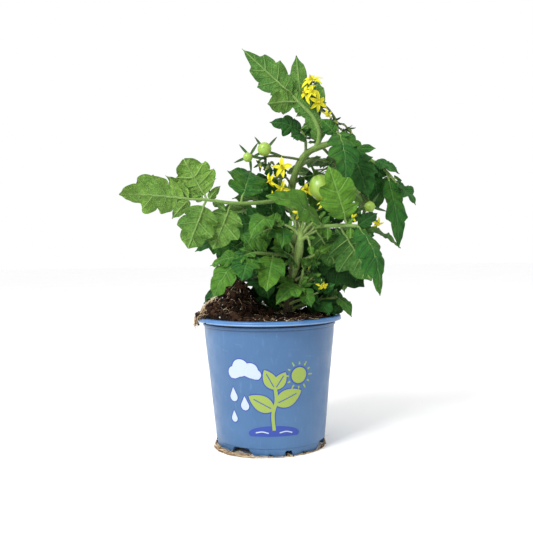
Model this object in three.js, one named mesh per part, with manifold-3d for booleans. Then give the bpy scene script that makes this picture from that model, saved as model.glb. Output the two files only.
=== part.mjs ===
// A young tomato plant in a blue plastic nursery pot, in millimetres.
// +Z is up, the pot stands on Z = 0 round the origin, and -Y is the side that is seen first.
import * as THREE from "three";
import { mergeVertices } from "three/addons/utils/BufferGeometryUtils.js";
import Module from "manifold-3d";

const wasm = await Module();
wasm.setup();

// Driving dimensions of the pot.
const POT_HEIGHT = 118;
const RIM_RADIUS = 66;
const BODY_TOP_RADIUS = 59.9;
const BASE_RADIUS = 48.7;
const WALL = 1.2;
const FOOT_HEIGHT = 7;
const FLOOR = 1.6;
const PAD_RADIUS = 26;
const CHANNEL_RADIUS = 44;
const CHANNEL_HEIGHT = 4;
const POT_SIDES = 24;

// What keeps neighbouring pieces apart.
const GAP = 0.3;
const SEAT = 0.36;

// Driving dimensions of the soil.
const SOIL_TOP = 116.5;
const SOIL_RINGS = 4;
const STEM_FOOT = [15, 0, 100];

// Blades of leaves and petals.
const BLADE_THICKNESS = 0.9;
const PETAL_THICKNESS = 0.8;

const vector = (p) => new THREE.Vector3(p[0], p[1], p[2]);
const radians = THREE.MathUtils.degToRad;

// A repeatable draw from 0 to 1 for a whole number.
function draw(seed) {
  const wide = Math.sin(seed * 12.9898) * 43758.5453;
  return wide - Math.floor(wide);
}

function solidOf(geometry) {
  const bare = new THREE.BufferGeometry();
  bare.setAttribute("position", geometry.getAttribute("position").clone());
  if (geometry.index) bare.setIndex(geometry.index.clone());
  const merged = mergeVertices(bare, 1e-4);
  const solid = new wasm.Manifold(
    new wasm.Mesh({
      numProp: 3,
      vertProperties: new Float32Array(merged.attributes.position.array),
      triVerts: new Uint32Array(merged.index.array),
    }),
  );
  return solid;
}

function geometryOf(solid) {
  const mesh = solid.getMesh();
  const positions = new Float32Array(mesh.numVert * 3);
  for (let i = 0; i < mesh.numVert; i++)
    positions.set(mesh.vertProperties.subarray(i * mesh.numProp, i * mesh.numProp + 3), i * 3);
  const geometry = new THREE.BufferGeometry();
  geometry.setAttribute("position", new THREE.BufferAttribute(positions, 3));
  geometry.setIndex(new THREE.BufferAttribute(new Uint32Array(mesh.triVerts), 1));
  geometry.computeVertexNormals();
  return geometry;
}

// A closed mesh from rows of points that run round a tube, with a fan over each end.
function capped(rows) {
  const sides = rows[0].length;
  const centre = (row) => row.reduce((sum, p) => sum.add(p), new THREE.Vector3()).divideScalar(sides);
  const points = [...rows.flat(), centre(rows[0]), centre(rows.at(-1))];
  const first = points.length - 2;
  const index = [];
  for (let i = 0; i + 1 < rows.length; i++)
    for (let k = 0; k < sides; k++) {
      const a = i * sides + k;
      const b = i * sides + ((k + 1) % sides);
      index.push(a, b, a + sides, b, b + sides, a + sides);
    }
  const last = (rows.length - 1) * sides;
  for (let k = 0; k < sides; k++) {
    const next = (k + 1) % sides;
    index.push(first, next, k, first + 1, last + k, last + next);
  }
  return meshOf(points, index);
}

function meshOf(points, index) {
  const geometry = new THREE.BufferGeometry();
  const positions = new Float32Array(points.flatMap((p) => [p.x, p.y, p.z]));
  geometry.setAttribute("position", new THREE.BufferAttribute(positions, 3));
  geometry.setIndex(index);
  return geometry;
}

// Two directions across a line, so that rings along a bent stem don't twist.
function across(tangent, reference) {
  const one = reference.clone().addScaledVector(tangent, -reference.dot(tangent)).normalize();
  return [one, new THREE.Vector3().crossVectors(tangent, one)];
}

const curveThrough = (points) => new THREE.CatmullRomCurve3(points, false, "catmullrom", 0.5);

// A tapered stalk along a smooth line through the points.
function stalk({ points, radii, sides = 5, steps = 6 }, grow = 0) {
  const curve = curveThrough(points);
  const chord = points.at(-1).clone().sub(points[0]).normalize();
  const upright = Math.abs(chord.z) > 0.75;
  const reference = upright ? new THREE.Vector3(0, 1, 0) : new THREE.Vector3(0, 0, 1);
  const rows = [];
  for (let i = 0; i <= steps; i++) {
    const t = i / steps;
    const centre = curve.getPoint(t);
    const tangent = curve.getTangent(t);
    if (i === 0) centre.addScaledVector(tangent, -grow);
    if (i === steps) centre.addScaledVector(tangent, grow);
    const [one, two] = across(tangent, reference);
    const radius = THREE.MathUtils.lerp(radii[0], radii[1], t) + grow / Math.cos(Math.PI / sides);
    const row = [];
    for (let k = 0; k < sides; k++) {
      const angle = (2 * Math.PI * k) / sides;
      row.push(
        centre
          .clone()
          .addScaledVector(one, radius * Math.cos(angle))
          .addScaledVector(two, radius * Math.sin(angle)),
      );
    }
    rows.push(row);
  }
  return capped(rows);
}

// Half of a leaflet's width at a share of its length: broad near the base, pointed at the tip.
const outline = (s) => Math.pow(Math.sin(Math.PI * Math.pow(s, 0.7)), 0.66 + 0.44 * s);
const SINUS_DEPTH = 0.42;
const LOBE_LEAN = 0.045;
const EDGE_RIPPLE = 0.1;
const STALKLET_HALF_WIDTH = 0.8;

// The stations of a leaflet from its foot to its tip: [share of its length, half width, ripple].
// The first two are its stalklet, and the others are its lobes by turns with the notches between them.
function stations({ width, lobes, stalklet }) {
  const list = [
    [0, STALKLET_HALF_WIDTH, 0],
    [stalklet, STALKLET_HALF_WIDTH, 0],
  ];
  const inner = 2 * lobes - 1;
  for (let i = 1; i <= inner; i++) {
    const s = i / (inner + 1);
    const atLobe = i % 2 === 1;
    const half = (width / 2) * outline(s) * (atLobe ? 1 : 1 - SINUS_DEPTH * (1 - s));
    const lean = atLobe ? LOBE_LEAN : -LOBE_LEAN / 2;
    list.push([stalklet + (1 - stalklet) * s, half, atLobe ? -EDGE_RIPPLE : EDGE_RIPPLE, lean]);
  }
  return list;
}

// One lobed leaflet with its stalklet: a thin body whose two faces are split into the same triangles.
function blade(leaflet, grow = 0) {
  const { from, tip, face, arch, fold, thick = BLADE_THICKNESS } = leaflet;
  const along = tip.clone().sub(from);
  const length = along.length();
  along.normalize();
  const normal = face.clone().addScaledVector(along, -face.dot(along)).normalize();
  const side = new THREE.Vector3().crossVectors(normal, along);
  const place = (s, reach, lift) =>
    from
      .clone()
      .addScaledVector(along, s * (length + 2 * grow) - grow)
      .addScaledVector(side, reach)
      .addScaledVector(normal, arch * length * 4 * s * (1 - s) + lift);
  const surface = [];
  for (const [s, bare, ripple, lean = 0] of stations(leaflet)) {
    const half = bare + grow;
    const lift = (fold + ripple) * (bare - STALKLET_HALF_WIDTH);
    surface.push(place(s, 0, 0), place(s + lean, half, lift), place(s + lean, -half, lift));
  }
  const count = surface.length / 3;
  const end = surface.length;
  surface.push(place(1, 0, 0));
  const faces = [];
  for (const hand of [1, 2]) {
    const add = (a, b, c) => faces.push(hand === 2 ? [a, c, b] : [a, b, c]);
    for (let i = 0; i + 1 < count; i++) {
      add(3 * i, 3 * i + 3, 3 * i + hand);
      add(3 * i + hand, 3 * i + 3, 3 * i + 3 + hand);
    }
    add(3 * count - 3, end, 3 * count - 3 + hand);
  }
  const rim = [0];
  for (let i = 0; i < count; i++) rim.push(3 * i + 1);
  rim.push(end);
  for (let i = count - 1; i >= 0; i--) rim.push(3 * i + 2);
  return plate(surface, faces, rim, normal, thick + 2.8 * grow);
}

// A thin body from a surface, its triangles and its rim, with half the thickness to each side.
function plate(surface, faces, rim, normal, thick) {
  const count = surface.length;
  const points = [
    ...surface.map((p) => p.clone().addScaledVector(normal, thick / 2)),
    ...surface.map((p) => p.clone().addScaledVector(normal, -thick / 2)),
  ];
  const index = [];
  for (const [a, b, c] of faces) index.push(a, b, c, a + count, c + count, b + count);
  for (let k = 0; k < rim.length; k++) {
    const a = rim[k];
    const b = rim[(k + 1) % rim.length];
    index.push(a, b, a + count, b, b + count, a + count);
  }
  return meshOf(points, index);
}

// Petals or sepals in one body: a pointed star round an axis. Its points lean by the angle spread.
function star({ centre, axis, count, length, neck, spread, turn, thick }, grow = 0) {
  const lead = Math.abs(axis.z) > 0.9 ? new THREE.Vector3(1, 0, 0) : new THREE.Vector3(0, 0, 1);
  const [one, two] = across(axis, lead);
  const lean = radians(spread);
  const ray = (angle, reach) =>
    centre
      .clone()
      .addScaledVector(axis, Math.cos(lean) * reach)
      .addScaledVector(one, Math.sin(lean) * reach * Math.cos(angle))
      .addScaledVector(two, Math.sin(lean) * reach * Math.sin(angle));
  const surface = [centre.clone()];
  for (let k = 0; k < count; k++) {
    const angle = turn + (2 * Math.PI * k) / count;
    surface.push(ray(angle, length + 2 * grow), ray(angle + Math.PI / count, neck + grow));
  }
  const rim = surface.slice(1).map((_, i) => i + 1);
  const faces = rim.map((a, i) => [0, a, rim[(i + 1) % rim.length]]);
  return plate(surface, faces, rim.reverse(), axis, thick + 2.4 * grow);
}

// A ball or egg: radius across, longer along its axis.
function ball({ centre, axis, radius, long = radius, sides = 10 }, grow = 0) {
  const geometry = new THREE.SphereGeometry(1, sides, sides - 2);
  geometry.scale(radius + grow, long + grow, radius + grow);
  const turn = new THREE.Quaternion().setFromUnitVectors(new THREE.Vector3(0, 1, 0), axis);
  return geometry.applyQuaternion(turn).translate(centre.x, centre.y, centre.z);
}

const SHAPES = { stalk, blade, star, ball };
const shape = (kind, values) => ({ kind, values });
const made = ({ kind, values }, grow = 0) => solidOf(SHAPES[kind](values, grow));

function joined(shapes, grow = 0) {
  return shapes.map((one) => made(one, grow)).reduce((sum, one) => sum.add(one));
}

function boxesMeet(a, b) {
  return [0, 1, 2].every((i) => a.min[i] < b.max[i] && b.min[i] < a.max[i]);
}

// The biggest body of a solid: what fusing sealed in or cut loose is dropped.
const largest = (solid) => solid.decompose().sort((a, b) => b.volume() - a.volume())[0];

// What already stands in place, each with the room that others leave round it.
const taken = [];

function take(owner, room) {
  taken.push({ owner, room, box: room.boundingBox() });
}

function clash(owner, solid) {
  const box = solid.boundingBox();
  let volume = 0;
  for (const one of taken)
    if (one.owner !== owner && boxesMeet(one.box, box)) volume += solid.intersect(one.room).volume();
  return volume;
}

// The solid less the room of all others, without the scraps that this leaves.
function cleared(owner, solid) {
  const whole = solid.volume();
  for (const one of taken)
    if (one.owner !== owner && boxesMeet(one.box, solid.boundingBox())) solid = solid.subtract(one.room);
  const kept = largest(solid);
  return { solid: kept, lost: whole - kept.volume() };
}

const plant = new THREE.Group();
plant.name = "tomato_plant_in_pot";

// facts: how each leaflet was turned, and the volume that a trim took from a piece.
function addPiece(name, solid, colour, roughness, facts = {}) {
  const material = new THREE.MeshStandardMaterial({ color: colour, roughness, metalness: 0 });
  const mesh = new THREE.Mesh(geometryOf(solid), material);
  mesh.name = name;
  mesh.userData = facts;
  plant.add(mesh);
}

// The pot's wall, walked from the middle of its underside round to the middle of its floor.
function potProfile(grow) {
  const g = grow;
  const bodyFoot = BASE_RADIUS + 1.2;
  return [
    [0, -g],
    [PAD_RADIUS + g, -g],
    [PAD_RADIUS + 4 + g, CHANNEL_HEIGHT - g],
    [CHANNEL_RADIUS - g, CHANNEL_HEIGHT - g],
    [CHANNEL_RADIUS + 1.5 - g, -g],
    [BASE_RADIUS + g, -g],
    [BASE_RADIUS + 0.7 + g, FOOT_HEIGHT],
    [bodyFoot + g, FOOT_HEIGHT + 0.5],
    [BODY_TOP_RADIUS + g, POT_HEIGHT - 9],
    [BODY_TOP_RADIUS + 0.6 + g, POT_HEIGHT - 8.4],
    [BODY_TOP_RADIUS + 0.9 + g, POT_HEIGHT - 4 - g],
    [RIM_RADIUS - 0.8 + g, POT_HEIGHT - 4.4 - g],
    [RIM_RADIUS + g, POT_HEIGHT - 3.4],
    [RIM_RADIUS + g, POT_HEIGHT - 1],
    [RIM_RADIUS - 1 + g, POT_HEIGHT + g],
    [BODY_TOP_RADIUS + 0.3 - g, POT_HEIGHT + g],
    [BODY_TOP_RADIUS - WALL - g, POT_HEIGHT - 1.4],
    [bodyFoot - WALL - g, FOOT_HEIGHT + g],
    [CHANNEL_RADIUS - g, CHANNEL_HEIGHT + FLOOR + g],
    [PAD_RADIUS + 5, CHANNEL_HEIGHT + FLOOR + g],
    [PAD_RADIUS + 1, FLOOR + g],
    [0, FLOOR + g],
  ].map(([r, z]) => new THREE.Vector2(r, z));
}

function turnedSolid(profile, sides) {
  const geometry = new THREE.LatheGeometry(profile, sides);
  geometry.rotateX(Math.PI / 2);
  const solid = solidOf(geometry);
  return solid.volume() > 0 ? solid : solidOf(flipped(geometry));
}

function flipped(geometry) {
  const index = Array.from(geometry.index.array);
  for (let i = 0; i < index.length; i += 3) [index[i + 1], index[i + 2]] = [index[i + 2], index[i + 1]];
  geometry.setIndex(index);
  return geometry;
}

// Drainage notches in the foot: heading from the front in degrees, widths at foot and top, height.
const LARGE_NOTCH = [24, 13, 6.6];
const MIDDLE_NOTCH = [7, 4, 4.6];
const SMALL_NOTCH = [5, 3, 2];
const NOTCHES = [
  [-152, LARGE_NOTCH],
  [-120, SMALL_NOTCH],
  [-93, LARGE_NOTCH],
  [-63, SMALL_NOTCH],
  [-32, LARGE_NOTCH],
  [0, SMALL_NOTCH],
  [18, MIDDLE_NOTCH],
  [36, SMALL_NOTCH],
  [70, LARGE_NOTCH],
  [100, SMALL_NOTCH],
  [128, LARGE_NOTCH],
  [164, MIDDLE_NOTCH],
];

function notchCutter([heading, [wide, narrow, high]]) {
  const face = new THREE.Shape();
  face.moveTo(-wide / 2, -1);
  face.lineTo(wide / 2, -1);
  face.lineTo(narrow / 2, high);
  face.lineTo(-narrow / 2, high);
  face.closePath();
  const depth = 12;
  const geometry = new THREE.ExtrudeGeometry(face, { depth, bevelEnabled: false });
  geometry.rotateX(Math.PI / 2);
  geometry.translate(0, -(BASE_RADIUS + 3 - depth), 0);
  geometry.rotateZ(radians(heading));
  return solidOf(geometry);
}

function pot() {
  let solid = turnedSolid(potProfile(0), POT_SIDES);
  for (const notch of NOTCHES) solid = solid.subtract(notchCutter(notch));
  return solid;
}

// The soil's surface: a rough bed with a heap of crumbs on its left, which spills towards the rim.
function soilHeight(x, y) {
  const heap = (cx, cy, wide, deep, high) =>
    high * Math.exp(-((x - cx) ** 2) / (2 * wide ** 2) - (y - cy) ** 2 / (2 * deep ** 2));
  const rough = 0.9 * Math.sin(0.31 * x + 1.7) * Math.cos(0.27 * y) + 0.6 * Math.sin(0.73 * x - 0.61 * y);
  return SOIL_TOP + rough + heap(-44, -2, 17, 22, 14) + heap(-27, 2, 11, 13, 24) + heap(20, 4, 20, 20, 2);
}

function soil(stemRoom, lift = 0) {
  const wallRadius = (z) => {
    const foot = BASE_RADIUS + 1.2 - WALL;
    const slope = (BODY_TOP_RADIUS - WALL - foot) / (POT_HEIGHT - 1.4 - FOOT_HEIGHT);
    return foot + slope * (z - FOOT_HEIGHT) - SEAT;
  };
  const topRadius = wallRadius(SOIL_TOP);
  const rows = [];
  const ring = (radius, height) => {
    const row = [];
    for (let k = 0; k < POT_SIDES; k++) {
      const angle = (2 * Math.PI * k) / POT_SIDES;
      const x = radius * Math.cos(angle);
      const y = radius * Math.sin(angle);
      row.push(new THREE.Vector3(x, y, height(x, y)));
    }
    return row;
  };
  rows.push(ring(PAD_RADIUS + 0.9, () => FLOOR + SEAT));
  rows.push(ring(PAD_RADIUS + 4.9, () => CHANNEL_HEIGHT + FLOOR + SEAT));
  rows.push(ring(CHANNEL_RADIUS - 0.1, () => CHANNEL_HEIGHT + FLOOR + SEAT));
  rows.push(ring(wallRadius(FOOT_HEIGHT), () => FOOT_HEIGHT + SEAT));
  rows.push(ring(wallRadius(SOIL_TOP - 6), () => SOIL_TOP - 6));
  for (let i = SOIL_RINGS; i >= 1; i--) rows.push(ring((topRadius * i) / SOIL_RINGS, (x, y) => soilHeight(x, y) + lift));
  return solidOf(capped(rows)).subtract(stemRoom);
}

// Pale roots that have grown out of the notches and run round the foot.
const ROOT_RING = { radius: 50.75, sway: 0.2, waves: 5, phase: 0.4, thick: 1.05, swell: 0.3 };
const ROOT_STEPS = 20;
const ROOT_SIDES = 4;

function rootRing({ radius, sway, waves, phase, thick, swell }) {
  const rows = [];
  for (let i = 0; i < ROOT_STEPS; i++) {
    const turn = (2 * Math.PI * i) / ROOT_STEPS;
    const centreRadius = radius + sway * Math.sin(waves * turn + phase);
    const size = thick + swell * Math.sin((waves + 2) * turn + 2 * phase);
    for (let k = 0; k < ROOT_SIDES; k++) {
      const angle = (2 * Math.PI * k) / ROOT_SIDES - Math.PI / 2;
      const r = centreRadius + thick * Math.cos(angle);
      rows.push(new THREE.Vector3(r * Math.cos(turn), r * Math.sin(turn), size * (1 + Math.sin(angle))));
    }
  }
  const index = [];
  for (let i = 0; i < ROOT_STEPS; i++)
    for (let k = 0; k < ROOT_SIDES; k++) {
      const a = i * ROOT_SIDES + k;
      const b = i * ROOT_SIDES + ((k + 1) % ROOT_SIDES);
      const c = ((i + 1) % ROOT_STEPS) * ROOT_SIDES + k;
      const d = ((i + 1) % ROOT_STEPS) * ROOT_SIDES + ((k + 1) % ROOT_SIDES);
      index.push(a, c, b, b, c, d);
    }
  return solidOf(meshOf(rows, index));
}

// A root that loops from the ring in through a large notch to the root ball behind it.
function notchRoot(heading) {
  const front = radians(heading - 90);
  const at = (turn, r, z) => {
    const angle = front + radians(turn);
    return new THREE.Vector3(r * Math.cos(angle), r * Math.sin(angle), z);
  };
  return made(
    shape("stalk", {
      points: [at(-9, 50.8, 1.2), at(-4, 49, 2.6), at(4, 49, 2.8), at(9, 50.8, 1.2)],
      radii: [1, 1],
      sides: 3,
      steps: 3,
    }),
  );
}

function roots() {
  const potRoom = turnedSolid(potProfile(GAP), POT_SIDES);
  let notched = potRoom;
  for (const notch of NOTCHES) notched = notched.subtract(notchCutter([notch[0], notch[1].map((v) => v - GAP)]));
  let solid = rootRing(ROOT_RING);
  for (const [heading, size] of NOTCHES) if (size === LARGE_NOTCH) solid = solid.add(notchRoot(heading));
  return largest(solid.subtract(notched));
}

// The main stem, from its foot in the soil to the growing tip.
const STEM = {
  points: [STEM_FOOT, [17, 0, 120], [22, 0, 150], [25, -2, 173], [28, -1, 192], [26, 6, 211], [22, 10, 229],
    [27, 8, 250], [36, 4, 265], [47, 0, 271], [59, -4, 275], [66, 0, 285]].map(vector),
  radii: [4.4, 2.3],
  sides: 6,
  steps: 14,
};

// The fronds. Each has the line of its stalk, from the stem to where the last leaflet begins, the side
// that its upper faces look to, and its leaflets: [share of the stalk, tip, width, what differs].
const FRONDS = [
  {
    name: "frond_left",
    stalk: [[22, 10, 226], [-3, -8, 221], [-30, -18, 220], [-53, -22, 223], [-71, -24, 224]],
    radii: [2.1, 1.1],
    face: [0.1, 0.85, 0.5],
    leaflets: [
      [1, [-134, -10, 230], 44, { lobes: 4, arch: 0.05 }],
      [0.76, [-74, -18, 260], 40, { lobes: 4, face: [0.1, 0.9, -0.2] }],
      [0.76, [-70, -32, 180], 36, { lobes: 3 }],
      [0.44, [-14, 14, 257], 42, { lobes: 4, face: [0.15, -0.9, 0.35], arch: 0.16 }],
      [0.52, [-50, -26, 180], 37, { lobes: 3, face: [0.3, 0.85, 0.4] }],
    ],
  },
  {
    name: "frond_top",
    stalk: [[46, 0, 271], [48, -4, 283], [43, -4, 297], [34, -5, 307], [24, -5, 317]],
    radii: [2.2, 1.3],
    face: [-0.45, 0.75, 0.5],
    leaflets: [
      [1, [-21, -4, 360], 30, { lobes: 4, arch: -0.04 }],
      [0.8, [29, 14, 358], 21, { lobes: 2, face: [0.1, 0.9, 0.1] }],
      [0.6, [48, 18, 349], 25, { lobes: 2, face: [0.2, 0.9, 0.1], arch: 0.08 }],
      [0.88, [1, -12, 309], 24, { lobes: 2, face: [-0.3, 0.85, 0.4] }],
      [0.2, [30, -6, 311], 17, { lobes: 1, face: [0.1, 0.9, 0.3] }],
      [0.5, [12, -6, 329], 16, { lobes: 1, face: [0.1, 0.9, 0.3] }],
    ],
  },
  {
    name: "frond_top_dark",
    stalk: [[36, 4, 264], [36, 7, 279], [33, 8, 287]],
    radii: [1.5, 1.0],
    face: [-0.1, -0.75, 0.65],
    leaflets: [
      [1, [3, 3, 295], 26, { lobes: 3, face: [-0.1, -0.9, 0.4], arch: 0.14 }],
      [0.72, [18, -8, 280], 17, { lobes: 2, face: [-0.1, -0.9, 0.4] }],
      [0.6, [44, 14, 296], 15, { lobes: 2, face: [0.2, -0.7, 0.6] }],
      [0.5, [34, 40, 284], 20, { lobes: 2, face: [0, 0.3, 0.9] }],
    ],
  },
  {
    name: "frond_crest",
    stalk: [[60, -4, 274], [62, -14, 279], [64, -22, 279]],
    radii: [1.8, 1.2],
    face: [0.3, -0.9, 0.3],
    leaflets: [
      [1, [66, -46, 233], 32, { lobes: 3, arch: 0.12 }],
      [0.85, [85, -28, 263], 19, { lobes: 2, face: [0.1, -0.85, 0.5], arch: 0.1 }],
      [0.6, [49, -16, 294], 15, { lobes: 2, face: [-0.1, -0.9, 0.3] }],
    ],
  },
  {
    name: "frond_right",
    stalk: [[63, -1, 279], [80, 6, 270], [96, 8, 260], [109, 6, 250], [119, 3, 238]],
    radii: [2.0, 1.1],
    face: [0.55, -0.1, 0.8],
    leaflets: [
      [1, [136, -2, 217], 22, { lobes: 3, face: [0.6, -0.6, 0.5], arch: 0.06 }],
      [0.76, [119, -6, 178], 25, { lobes: 3, face: [0.4, -0.85, 0.2], arch: 0.06 }],
      [0.52, [122, 2, 246], 18, { lobes: 2, face: [0.2, -0.7, 0.7], arch: 0.08 }],
      [0.82, [124, 40, 212], 26, { lobes: 2, face: [0.5, 0.3, 0.8] }],
      [0.5, [103, 8, 214], 32, { lobes: 3, face: [0.2, -0.9, 0.2] }],
      [0.5, [104, 46, 240], 28, { lobes: 2, face: [0.4, 0.3, 0.8] }],
      [0.2, [86, 14, 216], 34, { lobes: 3, face: [0.1, -0.95, 0.1] }],
    ],
  },
  {
    name: "frond_front_right",
    stalk: [[28, -1, 192], [44, -25, 197], [62, -45, 198], [75, -55, 197]],
    radii: [2.1, 1.4],
    face: [0.35, -0.75, 0.55],
    leaflets: [
      [1, [90, -77, 139], 34, { lobes: 4, arch: 0.16 }],
      [0.8, [51, -63, 247], 34, { lobes: 4, face: [0, -0.95, 0.25], arch: 0.04 }],
      [0.66, [88, -46, 150], 46, { lobes: 3, face: [0.1, 0.95, 0.2] }],
      [0.42, [0, -78, 223], 32, { lobes: 3, face: [-0.1, -0.8, 0.6], arch: 0.08 }],
      [0.3, [62, -26, 160], 32, { lobes: 3, face: [0.1, 0.95, 0.2] }],
    ],
  },
  {
    name: "frond_front_left",
    stalk: [[26, -2, 180], [14, -22, 194], [8, -30, 201]],
    radii: [1.8, 1.1],
    face: [-0.3, -0.6, 0.75],
    leaflets: [
      [1, [-15, -50, 188], 30, { lobes: 3, arch: 0.3 }],
      [0.7, [-5, -10, 206], 22, { lobes: 3, face: [-0.2, -0.7, 0.6] }],
      [0.7, [12, -54, 180], 20, { lobes: 2, face: [0.3, -0.7, 0.6], arch: 0.15 }],
    ],
  },
  {
    name: "frond_low_left",
    stalk: [[25, -2, 171], [6, -20, 174], [-14, -35, 175], [-24, -42, 170]],
    radii: [1.9, 1.1],
    face: [-0.4, -0.6, 0.7],
    leaflets: [
      [1, [-48, -48, 137], 34, { lobes: 3, arch: 0.1 }],
      [0.8, [-51, -34, 165], 24, { lobes: 3, face: [-0.2, -0.5, 0.8] }],
      [0.36, [-2, -58, 144], 29, { lobes: 3, face: [0, -0.95, 0.2], arch: 0.08 }],
      [0.55, [-13, -4, 202], 30, { lobes: 3, face: [-0.1, -0.9, 0.1] }],
      [0.7, [-22, -64, 148], 26, { lobes: 3, face: [-0.1, -0.9, 0.4] }],
    ],
  },
  {
    name: "frond_shoot_low",
    stalk: [[19, 0, 133], [24, -14, 142], [28, -22, 145]],
    radii: [1.4, 0.9],
    face: [0, -0.7, 0.7],
    leaflets: [
      [1, [6, -50, 132], 24, { lobes: 3, arch: 0.14 }],
      [0.9, [36, -44, 135], 18, { lobes: 2, arch: 0.12 }],
      [0.6, [6, -26, 152], 16, { lobes: 2 }],
    ],
  },
  {
    name: "frond_low_right",
    stalk: [[23, -1, 158], [38, -6, 170], [48, -12, 174]],
    radii: [1.8, 1.2],
    face: [0.25, -0.8, 0.5],
    leaflets: [
      [1, [80, -24, 139], 42, { lobes: 3, face: [0.1, -0.95, 0.2], arch: 0.04 }],
      [0.5, [48, 6, 130], 36, { lobes: 3, face: [0, -0.95, 0.1] }],
      [0.75, [74, 14, 146], 32, { lobes: 2, face: [0.1, -0.9, 0.3] }],
    ],
  },
  {
    name: "frond_rim_right",
    stalk: [[17, 0, 122], [40, -2, 130], [62, -8, 134]],
    radii: [1.6, 1.0],
    face: [0.4, -0.5, 0.7],
    leaflets: [
      [1, [74, -15, 116], 16, { lobes: 2, arch: 0.12 }],
      [0.55, [53, -32, 121], 22, { lobes: 2, face: [0.1, -0.8, 0.6] }],
      [0.6, [66, 14, 122], 28, { lobes: 2, face: [0.1, -0.9, 0.3] }],
    ],
  },
  {
    name: "frond_behind_left",
    stalk: [[27, -1, 188], [-3, 20, 191], [-29, 30, 190]],
    radii: [2.0, 1.2],
    face: [-0.2, -0.6, 0.75],
    leaflets: [
      [1, [-71, 32, 178], 30, { lobes: 3, arch: 0.08 }],
      [0.8, [-48, 14, 162], 38, { lobes: 3, face: [-0.1, -0.9, 0.3] }],
      [0.8, [-42, 68, 188], 28, { lobes: 2, face: [-0.1, 0.4, 0.9] }],
      [0.45, [-12, -2, 156], 38, { lobes: 3, face: [0, -0.9, 0.3] }],
      [0.3, [6, 14, 158], 26, { lobes: 2, face: [0, -0.95, 0.1] }],
      [0.45, [-8, 58, 192], 28, { lobes: 2, face: [-0.1, 0.4, 0.9] }],
    ],
  },
  {
    name: "frond_middle_left",
    stalk: [[27, 4, 206], [6, 22, 208], [-10, 28, 204]],
    radii: [1.9, 1.1],
    face: [-0.1, -0.85, 0.5],
    leaflets: [
      [1, [-40, 20, 196], 32, { lobes: 3, arch: 0.1 }],
      [0.72, [-6, 8, 174], 30, { lobes: 3 }],
      [0.55, [10, 14, 246], 30, { lobes: 3, face: [-0.1, -0.95, 0] }],
      [0.72, [-16, 60, 216], 28, { lobes: 2, face: [-0.1, 0.4, 0.9] }],
    ],
  },
  {
    name: "frond_low_behind",
    stalk: [[21, 0, 146], [-8, 26, 153], [-31, 30, 148]],
    radii: [1.7, 1.1],
    face: [-0.3, -0.2, 0.9],
    leaflets: [
      [1, [-62, 18, 128], 24, { lobes: 3, arch: 0.1 }],
      [0.75, [-42, 58, 136], 26, { lobes: 2, face: [-0.3, 0.5, 0.8] }],
      [0.5, [0, 58, 144], 26, { lobes: 2, face: [0, 0.5, 0.8] }],
      [0.55, [-13, 0, 124], 36, { lobes: 3, face: [0, -0.95, 0.2] }],
      [0.24, [12, 18, 120], 34, { lobes: 2, face: [0, -0.95, 0.1] }],
    ],
  },
  {
    name: "frond_behind_right",
    stalk: [[28, 0, 197], [60, 30, 201], [90, 42, 198]],
    radii: [2.0, 1.2],
    face: [0.3, -0.3, 0.85],
    leaflets: [
      [1, [129, 36, 178], 32, { lobes: 3, arch: 0.08 }],
      [0.78, [92, 8, 170], 32, { lobes: 3, face: [0.1, -0.9, 0.3] }],
      [0.78, [102, 82, 190], 32, { lobes: 2, face: [0.2, 0.5, 0.8] }],
      [0.45, [60, 6, 162], 36, { lobes: 3, face: [0.1, -0.9, 0.3] }],
      [0.45, [60, 70, 198], 28, { lobes: 2, face: [0.1, 0.4, 0.9] }],
      [0.3, [58, 4, 224], 28, { lobes: 2, face: [0, -0.95, 0.1] }],
      [0.2, [38, 2, 164], 24, { lobes: 2, face: [0, -0.95, 0.1] }],
    ],
  },
  {
    name: "frond_back_high",
    stalk: [[30, 7, 255], [46, 28, 264], [62, 46, 262]],
    radii: [1.8, 1.1],
    face: [0.1, 0.3, 0.95],
    leaflets: [
      [1, [88, 84, 248], 32, { lobes: 3, arch: 0.12 }],
      [0.75, [42, 74, 254], 28, { lobes: 2, arch: 0.1 }],
      [0.7, [80, 22, 246], 26, { lobes: 2, arch: 0.1 }],
    ],
  },
  {
    name: "frond_back_left",
    stalk: [[25, 7, 214], [5, 42, 222], [-16, 70, 216]],
    radii: [2.0, 1.1],
    face: [-0.2, 0.4, 0.9],
    leaflets: [
      [1, [-48, 112, 188], 36, { lobes: 3, arch: 0.14 }],
      [0.8, [-58, 66, 208], 30, { lobes: 2, arch: 0.08 }],
      [0.8, [16, 106, 202], 30, { lobes: 2, arch: 0.1 }],
      [0.4, [-34, 34, 228], 26, { lobes: 2, arch: 0.08 }],
    ],
  },
  {
    name: "frond_back_right",
    stalk: [[24, 9, 241], [52, 38, 250], [76, 60, 244]],
    radii: [2.0, 1.1],
    face: [0.2, 0.4, 0.9],
    leaflets: [
      [1, [104, 96, 216], 34, { lobes: 3, arch: 0.14 }],
      [0.78, [52, 98, 234], 30, { lobes: 2, arch: 0.1 }],
      [0.78, [114, 56, 226], 28, { lobes: 2, arch: 0.08 }],
      [0.4, [20, 58, 254], 24, { lobes: 2, arch: 0.06 }],
      [0.45, [46, 18, 212], 30, { lobes: 3, face: [0, -0.95, 0.3] }],
    ],
  },
  {
    name: "frond_low_back",
    stalk: [[24, -1, 164], [44, 38, 166], [58, 60, 158]],
    radii: [1.8, 1.1],
    face: [0.2, 0.4, 0.9],
    leaflets: [
      [1, [80, 92, 132], 32, { lobes: 3, arch: 0.12 }],
      [0.75, [26, 86, 152], 28, { lobes: 2, arch: 0.1 }],
      [0.75, [92, 44, 150], 26, { lobes: 2, arch: 0.1 }],
      [0.45, [44, 22, 121], 38, { lobes: 2, face: [0, -0.95, 0.2] }],
      [0.25, [26, 18, 124], 28, { lobes: 2, face: [0, -0.95, 0.2] }],
    ],
  },
];

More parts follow.
